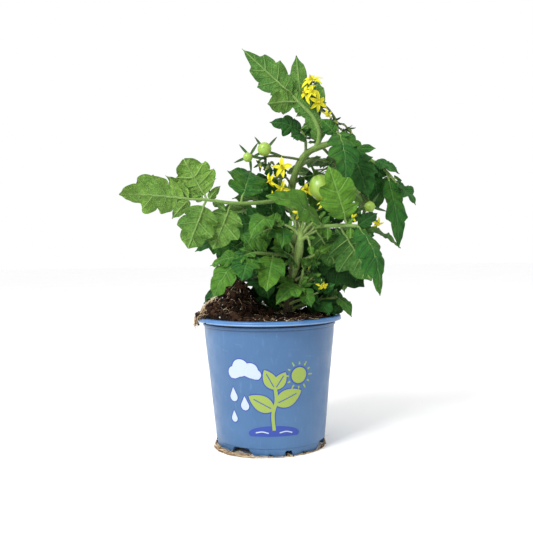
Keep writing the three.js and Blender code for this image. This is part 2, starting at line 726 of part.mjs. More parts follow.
// The flower and fruit stalks. Each end is [share of the stalk, kind, centre, axis, size, length],
// with the axis from the stalk out through the middle of the flower or fruit.
const TRUSSES = [
  {
    name: "truss_left",
    stalk: [[33, 5, 260], [21, 1, 262], [5, -5, 263], [-5, -8, 261]],
    radii: [1.3, 0.9],
    ends: [
      [0.85, "fruit", [-2, -15, 268], [-0.1, -0.98, 0.1], 6.2, 6.2],
      [1, "fruit", [-17, -15, 261], [-0.3, -0.9, -0.3], 4.3, 4.6],
      [0.93, "bud", [-6, -15, 254], [0.1, -0.8, -0.6], 2.4, 2.6],
    ],
  },
  {
    name: "truss_middle",
    stalk: [[23, 9, 235], [18, -2, 243], [12, -6, 244]],
    radii: [1.1, 0.8],
    ends: [
      [0.8, "bloom", [14, -14, 251], [-0.2, -0.9, 0.4], 18],
      [1, "bloom", [3, -14, 240], [-0.7, -0.6, -0.4], 15],
      [0.9, "bloom", [13, -15, 233], [0, -0.8, -0.6], 14],
    ],
  },
  {
    name: "truss_top",
    stalk: [[65, -1, 283], [65, 6, 295], [58, 8, 307], [49, 6, 314]],
    radii: [1.2, 0.8],
    ends: [
      [1, "bloom", [41, -4, 331], [-0.2, -0.7, 0.7], 18],
      [0.92, "bloom", [37, -7, 319], [-0.7, -0.7, 0.1], 18],
      [0.9, "bloom", [47, -7, 311], [0.3, -0.9, -0.3], 16],
      [0.62, "bloom", [56, -3, 300], [-0.4, -0.6, -0.7], 10],
      [0.3, "bud", [76, 3, 287], [0.6, -0.3, -0.7], 2.2, 2.6],
    ],
  },
  {
    name: "truss_right",
    stalk: [[50, -1, 272], [65, 12, 258], [79, 14, 240], [92, 2, 224]],
    radii: [1.4, 1.0],
    ends: [
      [0.42, "fruit", [48, -13, 233], [0.25, -0.3, -0.92], 10.2, 12.5],
      [0.62, "fruit", [79, -6, 236], [0.1, -0.5, -0.85], 9, 9.5],
      [1, "fruit", [91, -20, 215], [-0.15, -0.95, -0.1], 4.8, 4.8],
      [0.97, "bud", [84, -18, 206], [-0.3, -0.8, -0.5], 2.6, 2.8],
      [0.99, "bloom", [98, -18, 200], [0.3, -0.7, -0.6], 11],
    ],
  },
  {
    name: "truss_behind",
    stalk: [[24, 8, 220], [33, 15, 226], [38, 12, 232]],
    radii: [1.1, 0.8],
    ends: [
      [1, "bloom", [36, 1, 233], [-0.1, -0.9, 0.1], 14],
    ],
  },
  {
    name: "truss_front",
    stalk: [[27, -1, 185], [26, -22, 197], [25, -36, 204]],
    radii: [1.0, 0.8],
    ends: [
      [1, "bloom", [27, -46, 208], [0.2, -0.9, 0.3], 12],
      [0.9, "bloom", [50, -20, 218], [0.4, -0.6, 0.6], 12],
    ],
  },
  {
    name: "truss_low",
    stalk: [[21, 0, 140], [34, -10, 147], [42, -18, 147]],
    radii: [1.0, 0.7],
    ends: [
      [1, "bloom", [48, -27, 146], [0.3, -0.9, -0.3], 12],
      [0.7, "bud", [36, -16, 158], [0, -0.4, 0.9], 1.7, 2],
    ],
  },
];

// The turns that a leaflet tries until it is clear of its neighbours: [lift, sway] in degrees.
const BENDS = [[0, 0]];
for (const angle of [9, 18, 28, 38, 50])
  BENDS.push([angle, 0], [-angle, 0], [0, angle], [0, -angle], [angle, angle], [-angle, -angle]);
const CLEAR_VOLUME = 0.001;

const LEAFLET_ARCH = 0.06;
const LEAFLET_FOLD = 0.16;
const LEAFLET_LOBES = 3;
const STALKLET_SHARE = 0.13;
const END_STALKLET_SHARE = 0.04;

function leafletOf(frond, [share, tip, width, rest = {}]) {
  return {
    from: curveThrough(frond.stalk.map(vector)).getPoint(share),
    tip: vector(tip),
    width,
    face: vector(rest.face ?? frond.face),
    arch: rest.arch ?? LEAFLET_ARCH,
    fold: rest.fold ?? LEAFLET_FOLD,
    lobes: rest.lobes ?? LEAFLET_LOBES,
    stalklet: share === 1 ? END_STALKLET_SHARE : STALKLET_SHARE,
  };
}

function bent(leaflet, [lift, sway]) {
  const { from, tip, face } = leaflet;
  const along = tip.clone().sub(from);
  const ahead = along.clone().normalize();
  const normal = face.clone().addScaledVector(ahead, -face.dot(ahead)).normalize();
  const side = new THREE.Vector3().crossVectors(normal, ahead);
  const turn = new THREE.Quaternion()
    .setFromAxisAngle(side, radians(-lift))
    .multiply(new THREE.Quaternion().setFromAxisAngle(normal, radians(sway)));
  return { ...leaflet, tip: along.applyQuaternion(turn).add(from), face: normal.applyQuaternion(turn) };
}

// Adds a leaflet to a frond where it is clear of everything else, or trimmed if no turn clears it.
function grownLeaflet(owner, leaflet) {
  let best = null;
  for (const bend of BENDS) {
    const turned = shape("blade", bent(leaflet, bend));
    const solid = made(turned);
    const volume = clash(owner, solid) + bladeClash(owner, solid);
    if (!best || volume < best.volume - CLEAR_VOLUME) best = { bend, turned, solid, volume };
    if (best.volume < CLEAR_VOLUME) break;
  }
  const { solid, lost } = cleared(owner, best.solid);
  take(owner, made(best.turned, GAP));
  taken.at(-1).isLeaflet = true;
  return { solid, bend: best.bend, lost };
}

// Two leaflets of one frond may meet only at its stalk.
const STALK_MEETING_VOLUME = 3;

function bladeClash(owner, solid) {
  const box = solid.boundingBox();
  let volume = 0;
  for (const one of taken)
    if (one.owner === owner && one.isLeaflet && boxesMeet(one.box, box)) {
      const shared = solid.intersect(one.room).volume();
      if (shared > STALK_MEETING_VOLUME) volume += shared;
    }
  return volume;
}

function stalkShape({ stalk: line, radii }, sides) {
  return shape("stalk", { points: line.map(vector), radii, sides, steps: line.length + 1 });
}

const CONE_LENGTH = 0.34;
const PETAL_SPREAD = 104;
const SEPAL_SPREAD = 96;

function bloomShapes({ centre, axis, size }) {
  const tip = centre.clone().addScaledVector(axis, size * CONE_LENGTH);
  const foot = centre.clone().addScaledVector(axis, -0.7);
  return [
    shape("stalk", { points: [foot, tip], radii: [0.1 * size, 0.04 * size], sides: 5, steps: 1 }),
    shape("star", {
      centre,
      axis,
      count: 5,
      length: size / 2,
      neck: size * 0.13,
      spread: PETAL_SPREAD,
      turn: 0,
      thick: PETAL_THICKNESS,
    }),
  ];
}

const fruitShape = ({ centre, axis, size, long }) =>
  shape("ball", { centre, axis, radius: size, long, sides: size > 7 ? 10 : 8 });

// What the green truss holds at one end: the stalklet, a calyx of sepals, and a bud if it is one.
function calyxShapes({ kind, centre, axis, size, long, from }) {
  const behind = kind === "bloom" ? 1.6 : long + 0.9;
  const seat = centre.clone().addScaledVector(axis, -behind);
  const approach = seat.clone().addScaledVector(axis, -4);
  const reach = kind === "bloom" ? size * 0.36 : Math.min(8 + size, 14);
  const shapes = [
    shape("stalk", { points: [from, approach, seat], radii: [0.9, 1], sides: 3, steps: 3 }),
    shape("star", {
      centre: seat,
      axis,
      count: 5,
      length: reach,
      neck: 1.6,
      spread: kind === "bloom" ? PETAL_SPREAD + 14 : SEPAL_SPREAD,
      turn: Math.PI / 5,
      thick: PETAL_THICKNESS,
    }),
  ];
  if (kind === "bud") shapes.push(shape("ball", { centre, axis, radius: size, long: long + 1, sides: 6 }));
  return shapes;
}

function endsOf(truss) {
  const curve = curveThrough(truss.stalk.map(vector));
  return truss.ends.map(([share, kind, centre, axis, size, long = size]) => ({
    kind,
    from: curve.getPoint(share),
    centre: vector(centre),
    axis: vector(axis).normalize(),
    size,
    long,
  }));
}

// Paints of the pieces: colour and roughness.
const LEAF_GREEN = "#4f8a3a";
const STEM_GREEN = "#8fae62";
const POT_BLUE = "#5e8ebe";
const SOIL_BROWN = "#3b261a";
const ROOT_BEIGE = "#c8af82";
const FRUIT_GREEN = "#a6c163";
const PETAL_YELLOW = "#efdf2c";

const stemShape = shape("stalk", STEM);
const stemRoom = made(stemShape, GAP);
take("stem", stemRoom);
take("pot", turnedSolid(potProfile(GAP), POT_SIDES));
take("soil", soil(stemRoom, GAP));
addPiece("pot", pot(), POT_BLUE, 0.4);
addPiece("soil", soil(stemRoom), SOIL_BROWN, 0.95);
addPiece("roots", roots(), ROOT_BEIGE, 0.9);
addPiece("stem", made(stemShape), STEM_GREEN, 0.7);

// Flowers and fruits come first, then the stalks that hold them, then every frond's stalk.
for (const truss of TRUSSES) {
  const place = truss.name.replace("truss_", "");
  const counts = { bloom: 0, fruit: 0 };
  for (const end of endsOf(truss)) {
    if (end.kind === "bud") continue;
    counts[end.kind] += 1;
    const name = `${end.kind}_${place}_${counts[end.kind]}`;
    const shapes = end.kind === "bloom" ? bloomShapes(end) : [fruitShape(end)];
    const { solid, lost } = cleared(name, joined(shapes));
    take(name, joined(shapes, GAP));
    const colour = end.kind === "bloom" ? PETAL_YELLOW : FRUIT_GREEN;
    addPiece(name, solid, colour, end.kind === "bloom" ? 0.6 : 0.3, { lost });
  }
}

for (const truss of TRUSSES) {
  const shapes = [stalkShape(truss, 4), ...endsOf(truss).flatMap(calyxShapes)];
  const { solid, lost } = cleared(truss.name, joined(shapes));
  take(truss.name, joined(shapes, GAP));
  addPiece(truss.name, solid, STEM_GREEN, 0.7, { lost });
}

const frondStalks = FRONDS.map((frond) => {
  const line = stalkShape(frond, 4);
  const { solid, lost } = cleared(frond.name, made(line));
  take(frond.name, made(line, GAP));
  return { solid, lost };
});

FRONDS.forEach((frond, i) => {
  const leaflets = frond.leaflets.map((row) => grownLeaflet(frond.name, leafletOf(frond, row)));
  const whole = leaflets.reduce((sum, one) => sum.add(one.solid), frondStalks[i].solid);
  const facts = { bends: leaflets.map((one) => one.bend), lost: leaflets.map((one) => one.lost) };
  addPiece(frond.name, largest(whole), LEAF_GREEN, 0.7, facts);
});

export default plant;
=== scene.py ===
# The potted tomato plant: finer leaves, flowers, fruit, soil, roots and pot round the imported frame.
# Tables and lengths are in millimetres, as in the part's source, and meshes are made in metres.
import math
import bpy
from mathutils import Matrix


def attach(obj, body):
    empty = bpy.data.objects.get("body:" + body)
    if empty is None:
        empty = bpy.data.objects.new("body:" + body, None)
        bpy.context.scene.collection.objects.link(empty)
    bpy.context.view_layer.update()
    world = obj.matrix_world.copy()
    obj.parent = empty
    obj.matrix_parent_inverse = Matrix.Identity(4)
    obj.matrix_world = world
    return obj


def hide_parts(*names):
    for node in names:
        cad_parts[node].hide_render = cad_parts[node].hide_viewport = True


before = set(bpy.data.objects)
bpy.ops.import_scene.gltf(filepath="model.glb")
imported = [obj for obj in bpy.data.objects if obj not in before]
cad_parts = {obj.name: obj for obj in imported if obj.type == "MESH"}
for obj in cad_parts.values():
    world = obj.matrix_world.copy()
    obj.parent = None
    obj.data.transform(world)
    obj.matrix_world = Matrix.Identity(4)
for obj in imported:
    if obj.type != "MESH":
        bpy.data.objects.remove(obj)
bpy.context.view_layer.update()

import zlib

import bmesh
import bpy
import numpy as np
from mathutils import Matrix, Vector, noise
from mathutils.bvhtree import BVHTree
from mathutils.geometry import delaunay_2d_cdt

MM = 0.001
TURN = 2 * math.pi

# Driving dimensions of the pot and the soil, as in the solids.
POT_HEIGHT = 118
RIM_RADIUS = 66
BODY_TOP_RADIUS = 59.9
BASE_RADIUS = 48.7
WALL = 1.2
FOOT_HEIGHT = 7
FLOOR = 1.6
PAD_RADIUS = 26
CHANNEL_RADIUS = 44
CHANNEL_HEIGHT = 4
SEAT = 0.36
SOIL_TOP = 116.5


def unit(v):
    """v, or each row of v, at length 1."""
    v = np.asarray(v, float)
    return v / np.linalg.norm(v, axis=-1, keepdims=True)


def seeded(name):
    """A draw that gives the same numbers for a name on every run."""
    return np.random.default_rng(zlib.crc32(name.encode()))


def polar(radius, turn, z):
    """The point at a radius and a turn round the pot's axis, at a height."""
    return np.array((radius * math.cos(turn), radius * math.sin(turn), z))


def line_through(points, places):
    """Points of the smooth line through the given ones, at places counted from 0 in steps of one point."""
    points = np.array(points, float)
    padded = np.vstack([2 * points[0] - points[1], points, 2 * points[-1] - points[-2]])
    places = np.atleast_1d(np.asarray(places, float))
    i = np.clip(places.astype(int), 0, len(points) - 2)
    w = (places - i)[:, None]
    before, start, end, after = (padded[i + k] for k in range(4))
    leave = (end - before) / 2
    arrive = (after - start) / 2
    return (
        (2 * w**3 - 3 * w**2 + 1) * start
        + (w**3 - 2 * w**2 + w) * leave
        + (3 * w**2 - 2 * w**3) * end
        + (w**3 - w**2) * arrive
    )


def smooth_line(points, count):
    return line_through(points, np.linspace(0, len(points) - 1, count))


def point_on(points, share):
    return line_through(points, share * (len(points) - 1))[0]


def run_along(line):
    """How far along a line each of its points lies."""
    return np.concatenate([[0], np.cumsum(np.linalg.norm(np.diff(line, axis=0), axis=1))])


def closed_skin(rows, sides):
    """Quads between rings of points, and triangles that close both ends at two points after the rings."""
    i, k = np.meshgrid(np.arange(rows - 1), np.arange(sides), indexing="ij")
    step = (k + 1) % sides
    quads = np.stack([i * sides + k, i * sides + step, (i + 1) * sides + step, (i + 1) * sides + k], -1)
    k, step = k[0], step[0]
    base = (rows - 1) * sides
    first = np.full(sides, rows * sides)
    caps = [np.stack([first, step, k], -1), np.stack([first + 1, base + k, base + step], -1)]
    return quads.reshape(-1, 4), np.vstack(caps)


class Shape:
    """Points in millimetres, faces and values per point, which become one mesh."""

    def __init__(self):
        self.points = []
        self.values = []
        self.quads = []
        self.tris = []
        self.paints = ([], [])
        self.count = 0

    def add(self, points, quads=(), tris=(), paint=0, **values):
        points = np.asarray(points, float).reshape(-1, 3)
        for faces, kept, sides, paints in (
            (quads, self.quads, 4, self.paints[0]),
            (tris, self.tris, 3, self.paints[1]),
        ):
            faces = np.asarray(faces, int).reshape(-1, sides)
            kept.append(faces + self.count)
            paints.append(np.full(len(faces), paint))
        self.points.append(points)
        self.values.append((len(points), values))
        self.count += len(points)

    def attribute(self, name):
        rows = []
        for count, values in self.values:
            value = values.get(name, (0.0, 0.0, 0.0))
            rows.append(np.broadcast_to(np.asarray(value, float), (count, 3)))
        return np.concatenate(rows)

    def piece(self, name, materials, sharp=78):
        """The finished object, on the plant's only body. Edges bent more than sharp degrees show."""
        points = np.concatenate(self.points) * MM
        quads = np.concatenate(self.quads)
        tris = np.concatenate(self.tris)
        corners = np.concatenate([quads.ravel(), tris.ravel()])
        starts = np.concatenate([np.arange(len(quads)) * 4, len(quads) * 4 + np.arange(len(tris)) * 3])
        mesh = bpy.data.meshes.new(name)
        mesh.vertices.add(len(points))
        mesh.vertices.foreach_set("co", points.ravel())
        mesh.loops.add(len(corners))
        mesh.loops.foreach_set("vertex_index", corners)
        mesh.polygons.add(len(starts))
        mesh.polygons.foreach_set("loop_start", starts)
        mesh.polygons.foreach_set("material_index", np.concatenate(self.paints[0] + self.paints[1]))
        mesh.update(calc_edges=True)
        for key in sorted({key for _, values in self.values for key in values}):
            values = self.attribute(key).astype(np.float32)
            mesh.attributes.new(key, "FLOAT_VECTOR", "POINT").data.foreach_set("vector", values.ravel())
        mesh.set_sharp_from_angle(angle=math.radians(sharp))
        return placed(name, mesh, materials)


def linked(name, data):
    """A new object in the scene."""
    made = bpy.data.objects.new(name, data)
    bpy.context.scene.collection.objects.link(made)
    return made


def placed(name, mesh, materials):
    for material in materials:
        mesh.materials.append(material)
    piece = linked(name, mesh)
    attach(piece, "root")
    return piece


def frames_along(line):
    """Two directions across a line at each of its points, which don't twist."""
    tangents = unit(np.gradient(line, axis=0))
    start = np.array((0.0, 1.0, 0.0)) if abs(tangents[0][2]) > 0.75 else np.array((0.0, 0.0, 1.0))
    ones = []
    for tangent in tangents:
        start = unit(start - tangent * (start @ tangent))
        ones.append(start)
    ones = np.array(ones)
    return ones, np.cross(tangents, ones)


def tube(shape, line, radii, sides=8, paint=0, **values):
    """A closed tube along a line, with a radius for each of its points."""
    line = np.asarray(line, float)
    rows = len(line)
    radii = np.broadcast_to(radii, rows).astype(float)
    one, two = frames_along(line)
    angle = np.arange(sides) * TURN / sides
    ring = np.cos(angle)[None, :, None] * one[:, None] + np.sin(angle)[None, :, None] * two[:, None]
    rings = line[:, None] + radii[:, None, None] * ring
    points = np.vstack([rings.reshape(-1, 3), line[0], line[-1]])
    run = run_along(line)
    grain = np.zeros((len(points), 3))
    grain[:-2, 0] = np.repeat(run, sides)
    grain[:-2, 1] = np.tile(np.minimum(angle, TURN - angle), rows)
    grain[-1, 0] = run[-1]
    shape.add(points, *closed_skin(rows, sides), paint, grain=grain, **values)


def sheet_body(shape, grid, thick, paint=0, **values):
    """A closed thin body round a grid of points, upper side where its rows crossed with its columns point.

    Each value is an array over the grid. The first part of the value leaf becomes 1 above and 0 below.
    """
    rows, columns, _ = grid.shape
    lift = unit(np.cross(np.gradient(grid, axis=0), np.gradient(grid, axis=1))) * (thick / 2)
    points = np.concatenate([(grid + lift).reshape(-1, 3), (grid - lift).reshape(-1, 3)])
    under = rows * columns
    i, j = np.meshgrid(np.arange(rows - 1), np.arange(columns - 1), indexing="ij")
    a = i * columns + j
    top = np.stack([a, a + columns, a + columns + 1, a + 1], -1).reshape(-1, 4)
    rim = np.concatenate(
        [
            np.arange(rows - 1) * columns,
            (rows - 1) * columns + np.arange(columns - 1),
            np.arange(rows - 1, 0, -1) * columns + columns - 1,
            np.arange(columns - 1, 0, -1),
        ]
    )
    ahead = np.roll(rim, -1)
    edge = np.stack([ahead, rim, rim + under, ahead + under], -1)
    both = {key: np.concatenate([v.reshape(-1, 3)] * 2) for key, v in values.items()}
    if "leaf" in both:
        both["leaf"][:, 0] = np.arange(2 * under) < under
    shape.add(points, np.vstack([top, top[:, ::-1] + under, edge]), paint=paint, **both)


HAIR_RADIUS = 0.045


def hairs_on(shape, line, radii, count, length, rng):
    """Three-sided pointed hairs that stand off a tube."""
    line = np.asarray(line, float)
    radii = np.broadcast_to(radii, len(line)).astype(float)
    place = rng.random(count) * (len(line) - 1)
    i = np.minimum(place.astype(int), len(line) - 2)
    w = (place - i)[:, None]
    centre = line[i] * (1 - w) + line[i + 1] * w
    tangent = unit(line[i + 1] - line[i])
    radius = radii[i][:, None] * (1 - w) + radii[i + 1][:, None] * w
    out = rng.normal(size=(count, 3))
    out = unit(out - tangent * (out * tangent).sum(1, keepdims=True))
    root = centre + out * radius * 0.92
    lean = unit(out + 0.3 * rng.normal(size=(count, 3)))
    tips = root + lean * (length * rng.uniform(0.45, 1.25, count))[:, None]
    one = unit(np.cross(lean, np.where(np.abs(lean[:, 2:]) > 0.8, (1.0, 0, 0), (0, 0, 1.0))))
    two = np.cross(lean, one)
    third = TURN / 3
    corners = [root + HAIR_RADIUS * (math.cos(a) * one + math.sin(a) * two) for a in (0, third, 2 * third)]
    pattern = np.array([(0, 1, 3), (1, 2, 3), (2, 0, 3), (0, 2, 1)])
    tris = (np.arange(count) * 4)[:, None, None] + pattern
    shape.add(np.stack([*corners, tips], 1), tris=tris)


ALBEDO = 0.8


def rgb(code):
    """Linear colour from a hex code, darker by ALBEDO so that the key lamp can be strong."""

    def linear(x):
        return x / 12.92 if x <= 0.04045 else ((x + 0.055) / 1.055) ** 2.4

    return tuple(ALBEDO * linear(int(code[i : i + 2], 16) / 255) for i in (1, 3, 5)) + (1.0,)


class Paint:
    """A node material, built up in steps. Inputs are numbers, colours or outputs of other steps."""

    def __init__(self, name, roughness=0.5, gloss=0.5, **fixed):
        self.material = bpy.data.materials.new(name)
        self.material.use_nodes = True
        self.tree = self.material.node_tree
        self.shader = self.tree.nodes["Principled BSDF"]
        self.shader.inputs["Roughness"].default_value = roughness
        self.shader.inputs["Specular IOR Level"].default_value = gloss
        for socket, value in fixed.items():
            self.shader.inputs[socket.replace("_", " ").title()].default_value = value

    def node(self, kind, inputs=(), **settings):
        node = self.tree.nodes.new("ShaderNode" + kind)
        for key, value in settings.items():
            setattr(node, key, value)
        for key, value in dict(inputs).items():
            self.feed(node.inputs[key], value)
        return node

    def feed(self, socket, value):
        """Sets an input to a number or a colour, which may be a hex code, or links it to an output."""
        if isinstance(value, bpy.types.NodeSocket):
            self.tree.links.new(value, socket)
        else:
            socket.default_value = rgb(value) if isinstance(value, str) else value

    def math(self, operation, *values):
        return self.node("Math", enumerate(values), operation=operation).outputs[0]

    def times(self, *values):
        return self.math("MULTIPLY", *values)

    def plus(self, *values):
        return self.math("ADD", *values)

    def mix(self, share, a, b):
        return self.node("Mix", {0: share, 6: a, 7: b}, data_type="RGBA").outputs[2]

    def scaled(self, value, low, high, first=0.0, last=1.0):
        """value from low to high, turned smoothly into first to last."""
        inputs = {"Value": value, "From Min": low, "From Max": high, "To Min": first, "To Max": last}
        return self.node("MapRange", inputs, interpolation_type="SMOOTHSTEP").outputs[0]

    def own(self, name):
        """The three values of one of the mesh's attributes."""
        vector = self.node("Attribute", attribute_name=name).outputs["Vector"]
        return self.node("SeparateXYZ", {0: vector}).outputs

    def place(self, stretch=(1, 1, 1)):
        at = self.node("TexCoord").outputs["Object"]
        return self.node("Mapping", {"Vector": at, "Scale": stretch}).outputs[0]

    def noise(self, scale, detail=2.0, roughness=0.5, at=None):
        inputs = {"Vector": at or self.place(), "Scale": scale, "Detail": detail, "Roughness": roughness}
        return self.node("TexNoise", inputs).outputs["Fac"]

    def cracks(self, scale):
        """Distance from the walls of a net of cells."""
        inputs = {"Vector": self.place(), "Scale": scale}
        return self.node("TexVoronoi", inputs, feature="DISTANCE_TO_EDGE").outputs["Distance"]

    def blend(self, field, low, high, a, b, most=1.0):
        """a where a field is low, turning smoothly to b where it is high, or to the share most of b."""
        return self.mix(self.scaled(field, low, high, 0.0, most), a, b)

    def colour(self, value):
        self.feed(self.shader.inputs["Base Color"], value)

    def roughness(self, value):
        self.feed(self.shader.inputs["Roughness"], value)

    def relief(self, height, distance):
        """Bump of a height from 0 to 1, distance millimetres deep."""
        node = self.node("Bump", {"Height": height, "Strength": 1.0, "Distance": distance * MM})
        self.feed(self.shader.inputs["Normal"], node.outputs[0])


def leaf_paint():
    """Upper and under face of a leaflet, with its veins.

    Its tone goes from young, 0, to old, 1, and on to painted shade, 2, for leaflets that lie in the shade of
    others.
    """
    p = Paint("leaf", roughness=0.6, gloss=0.12)
    phase, reach, share = p.own("vein")
    upper, tone, pitch = p.own("leaf")
    wide = p.scaled(p.noise(42, 2), 0.3, 0.7, -0.24, 0.3)
    tone = p.plus(tone, p.plus(wide, p.scaled(p.noise(220, 1), 0.3, 0.7, -0.04, 0.05)))

    # The third colour of each is painted shade, reached as the tone goes from 1 to 2.
    def toned(young, old, shaded):
        colour = p.mix(tone, young, old)
        return p.mix(p.math("SUBTRACT", tone, 1.0), colour, shaded)

    side_vein = p.times(p.math("PINGPONG", phase, 0.5), pitch)
    small_vein = p.times(p.math("PINGPONG", p.plus(phase, 0.5), 0.5), pitch)
    on_side = p.scaled(side_vein, 0.1, p.scaled(share, 0.0, 1.0, 1.0, 0.5), 1.0, 0.0)
    on_small = p.scaled(small_vein, 0.05, p.scaled(share, 0.0, 0.9, 0.75, 0.3), 0.55, 0.0)
    on_rib = p.scaled(reach, 0.4, 1.3, 1.0, 0.0)
    from_vein = p.math("MINIMUM", p.math("MINIMUM", side_vein, small_vein), reach)
    # Painted shade and light of the quilting: darker beside the veins, lighter in the middle of each cell,
    # on both faces.
    painted_cell_shading = p.scaled(from_vein, 0.3, 2.2)
    net = p.scaled(p.cracks(360), 0.0, 0.15, 0.5, 0.0)
    fine_net = p.scaled(p.cracks(1000), 0.0, 0.2, 0.3, 0.0)
    veins = p.math("MAXIMUM", p.math("MAXIMUM", on_side, on_rib), on_small)
    all_veins = p.math("MAXIMUM", p.math("MAXIMUM", net, fine_net), veins)
    top = p.mix(painted_cell_shading, toned("#4b7a20", "#20511a", "#0d2a09"), toned("#5e8e2a", "#2f6823", "#14380e"))
    top = p.mix(p.times(veins, 0.45), top, toned("#80ab55", "#4a7b3f", "#254e1f"))
    top = p.mix(p.times(net, 0.5), top, toned("#74a243", "#3f773a", "#24521d"))
    below = p.mix(painted_cell_shading, toned("#628d33", "#3d6a2b", "#1c4315"), toned("#729c3d", "#487832", "#224d1a"))
    below_veins = p.times(p.math("MAXIMUM", veins, net), 0.65)
    below = p.mix(below_veins, below, toned("#a2c56d", "#7ba556", "#3f6e2e"))
    colour = p.mix(upper, below, top)
    p.colour(p.mix(p.scaled(share, 0.93, 1.0, 0.0, 0.3), colour, toned("#4b7d22", "#2a5d1f", "#12340f")))
    p.roughness(p.scaled(p.noise(150, 2), 0.2, 0.8, 0.45, 0.68))
    side_of = p.math("SUBTRACT", p.times(upper, -2.0), -1.0)
    grain = p.times(p.noise(1300, 2), 0.25)
    p.relief(p.plus(p.times(all_veins, side_of), grain), 0.9)
    return p.material


def skin_streaks(p, stretch, scale, detail):
    """How far along a tube, and fine streaks along it."""
    run, angle, _ = p.own("grain")
    at = p.node("CombineXYZ", {0: p.times(run, stretch), 1: angle, 2: 0.0}).outputs[0]
    return run, p.noise(scale, detail, at=at)


def stalk_paint(name, young, old, speck):
    """Pale hairy skin with fine streaks along it."""
    p = Paint(name, roughness=0.6, sheen_weight=0.1, gloss=0.25)
    _, streaks = skin_streaks(p, 0.05, 5.0, 3)
    colour = p.blend(streaks, 0.35, 0.65, young, old)
    p.colour(p.blend(p.noise(700, 2), 0.55, 0.75, colour, speck, 0.5))
    p.relief(p.plus(streaks, p.noise(1500, 2)), 0.16)
    return p.material


def main_stem_paint():
    """The main stem: brownish at its woody foot and darkened further with painted shade where the fronds
    shade it, pale green above.
    """
    p = Paint("main_stem", roughness=0.6, sheen_weight=0.1, gloss=0.25)
    run, streaks = skin_streaks(p, 0.04, 4.0, 4)
    green = p.blend(streaks, 0.35, 0.65, "#738f3f", "#51702a")
    # Partly the woody foot's own brown, partly painted shade: dark for 30 mm along the stem, fading to green
    # by 95 mm.
    woody_and_shaded = p.blend(streaks, 0.3, 0.7, "#4b4426", "#272010")
    colour = p.blend(run, 30.0, 95.0, woody_and_shaded, green)
    p.colour(p.blend(p.noise(600, 2), 0.55, 0.75, colour, "#9fb174", 0.5))
    p.relief(p.plus(streaks, p.noise(1200, 2)), 0.3)
    return p.material


def hair_paint():
    p = Paint("hair", roughness=0.5)
    p.colour(p.blend(p.noise(90, 1), 0.3, 0.7, "#b9c6a0", "#93a86c"))
    return p.material


def sepal_paint():
    p = Paint("sepal", roughness=0.6, gloss=0.25)
    along, across, _ = p.own("petal")
    colour = p.blend(along, 0.1, 1.0, "#38611f", "#15310f")
    colour = p.mix(p.scaled(across, 0.0, 0.35, 0.5, 0.0), colour, "#64893f")
    p.colour(p.blend(p.noise(500, 2), 0.5, 0.8, colour, "#55793a", 0.4))
    p.relief(p.noise(1100, 2), 0.15)
    return p.material


def petal_paint():
    p = Paint("petal", roughness=0.6, gloss=0.2)
    along, across, _ = p.own("petal")
    colour = p.blend(along, 0.0, 0.6, "#c2be1c", "#dad624")
    colour = p.mix(p.scaled(across, 0.0, 0.25, 0.45, 0.0), colour, "#a29c16")
    colour = p.blend(along, 0.88, 1.0, colour, "#b79a2a", 0.35)
    streaks = p.noise(900, 2)
    p.colour(p.blend(streaks, 0.5, 0.75, colour, "#f2e25a", 0.3))
    p.relief(streaks, 0.12)
    return p.material


def cone_paint():
    p = Paint("anther_cone", roughness=0.5)
    run, angle, _ = p.own("grain")
    colour = p.blend(run, 0.0, 6.0, "#d3cb20", "#c8ad1a")
    grooves = p.math("PINGPONG", angle, math.pi / 5)
    p.colour(p.mix(p.scaled(grooves, 0.0, 0.25, 0.5, 0.0), colour, "#a98f12"))
    p.relief(grooves, 0.2)
    return p.material


def fruit_paint():
    """Smooth pale skin, darker at the shoulder, with faint stripes down to the tip."""
    p = Paint("fruit_skin", roughness=0.36, coat_weight=0.15, coat_roughness=0.2, subsurface_weight=0.12)
    p.shader.inputs["Subsurface Radius"].default_value = (0.002, 0.003, 0.001)
    down, angle, _ = p.own("skin")
    stripes = p.times(p.math("SINE", p.times(angle, 9.0)), 0.5)
    flow = p.plus(stripes, p.noise(160, 3))
    colour = p.blend(down, 0.05, 0.6, "#688f26", "#8aad38")
    colour = p.blend(flow, 0.3, 1.0, colour, "#a0bf4c", 0.4)
    colour = p.blend(down, 0.965, 1.0, colour, "#8a6a2a")
    p.colour(p.blend(p.noise(1500, 1), 0.6, 0.8, colour, "#b9ca84", 0.4))
    p.roughness(p.scaled(p.noise(300, 2), 0.3, 0.7, 0.32, 0.45))
    p.relief(p.noise(500, 2), 0.05)
    return p.material


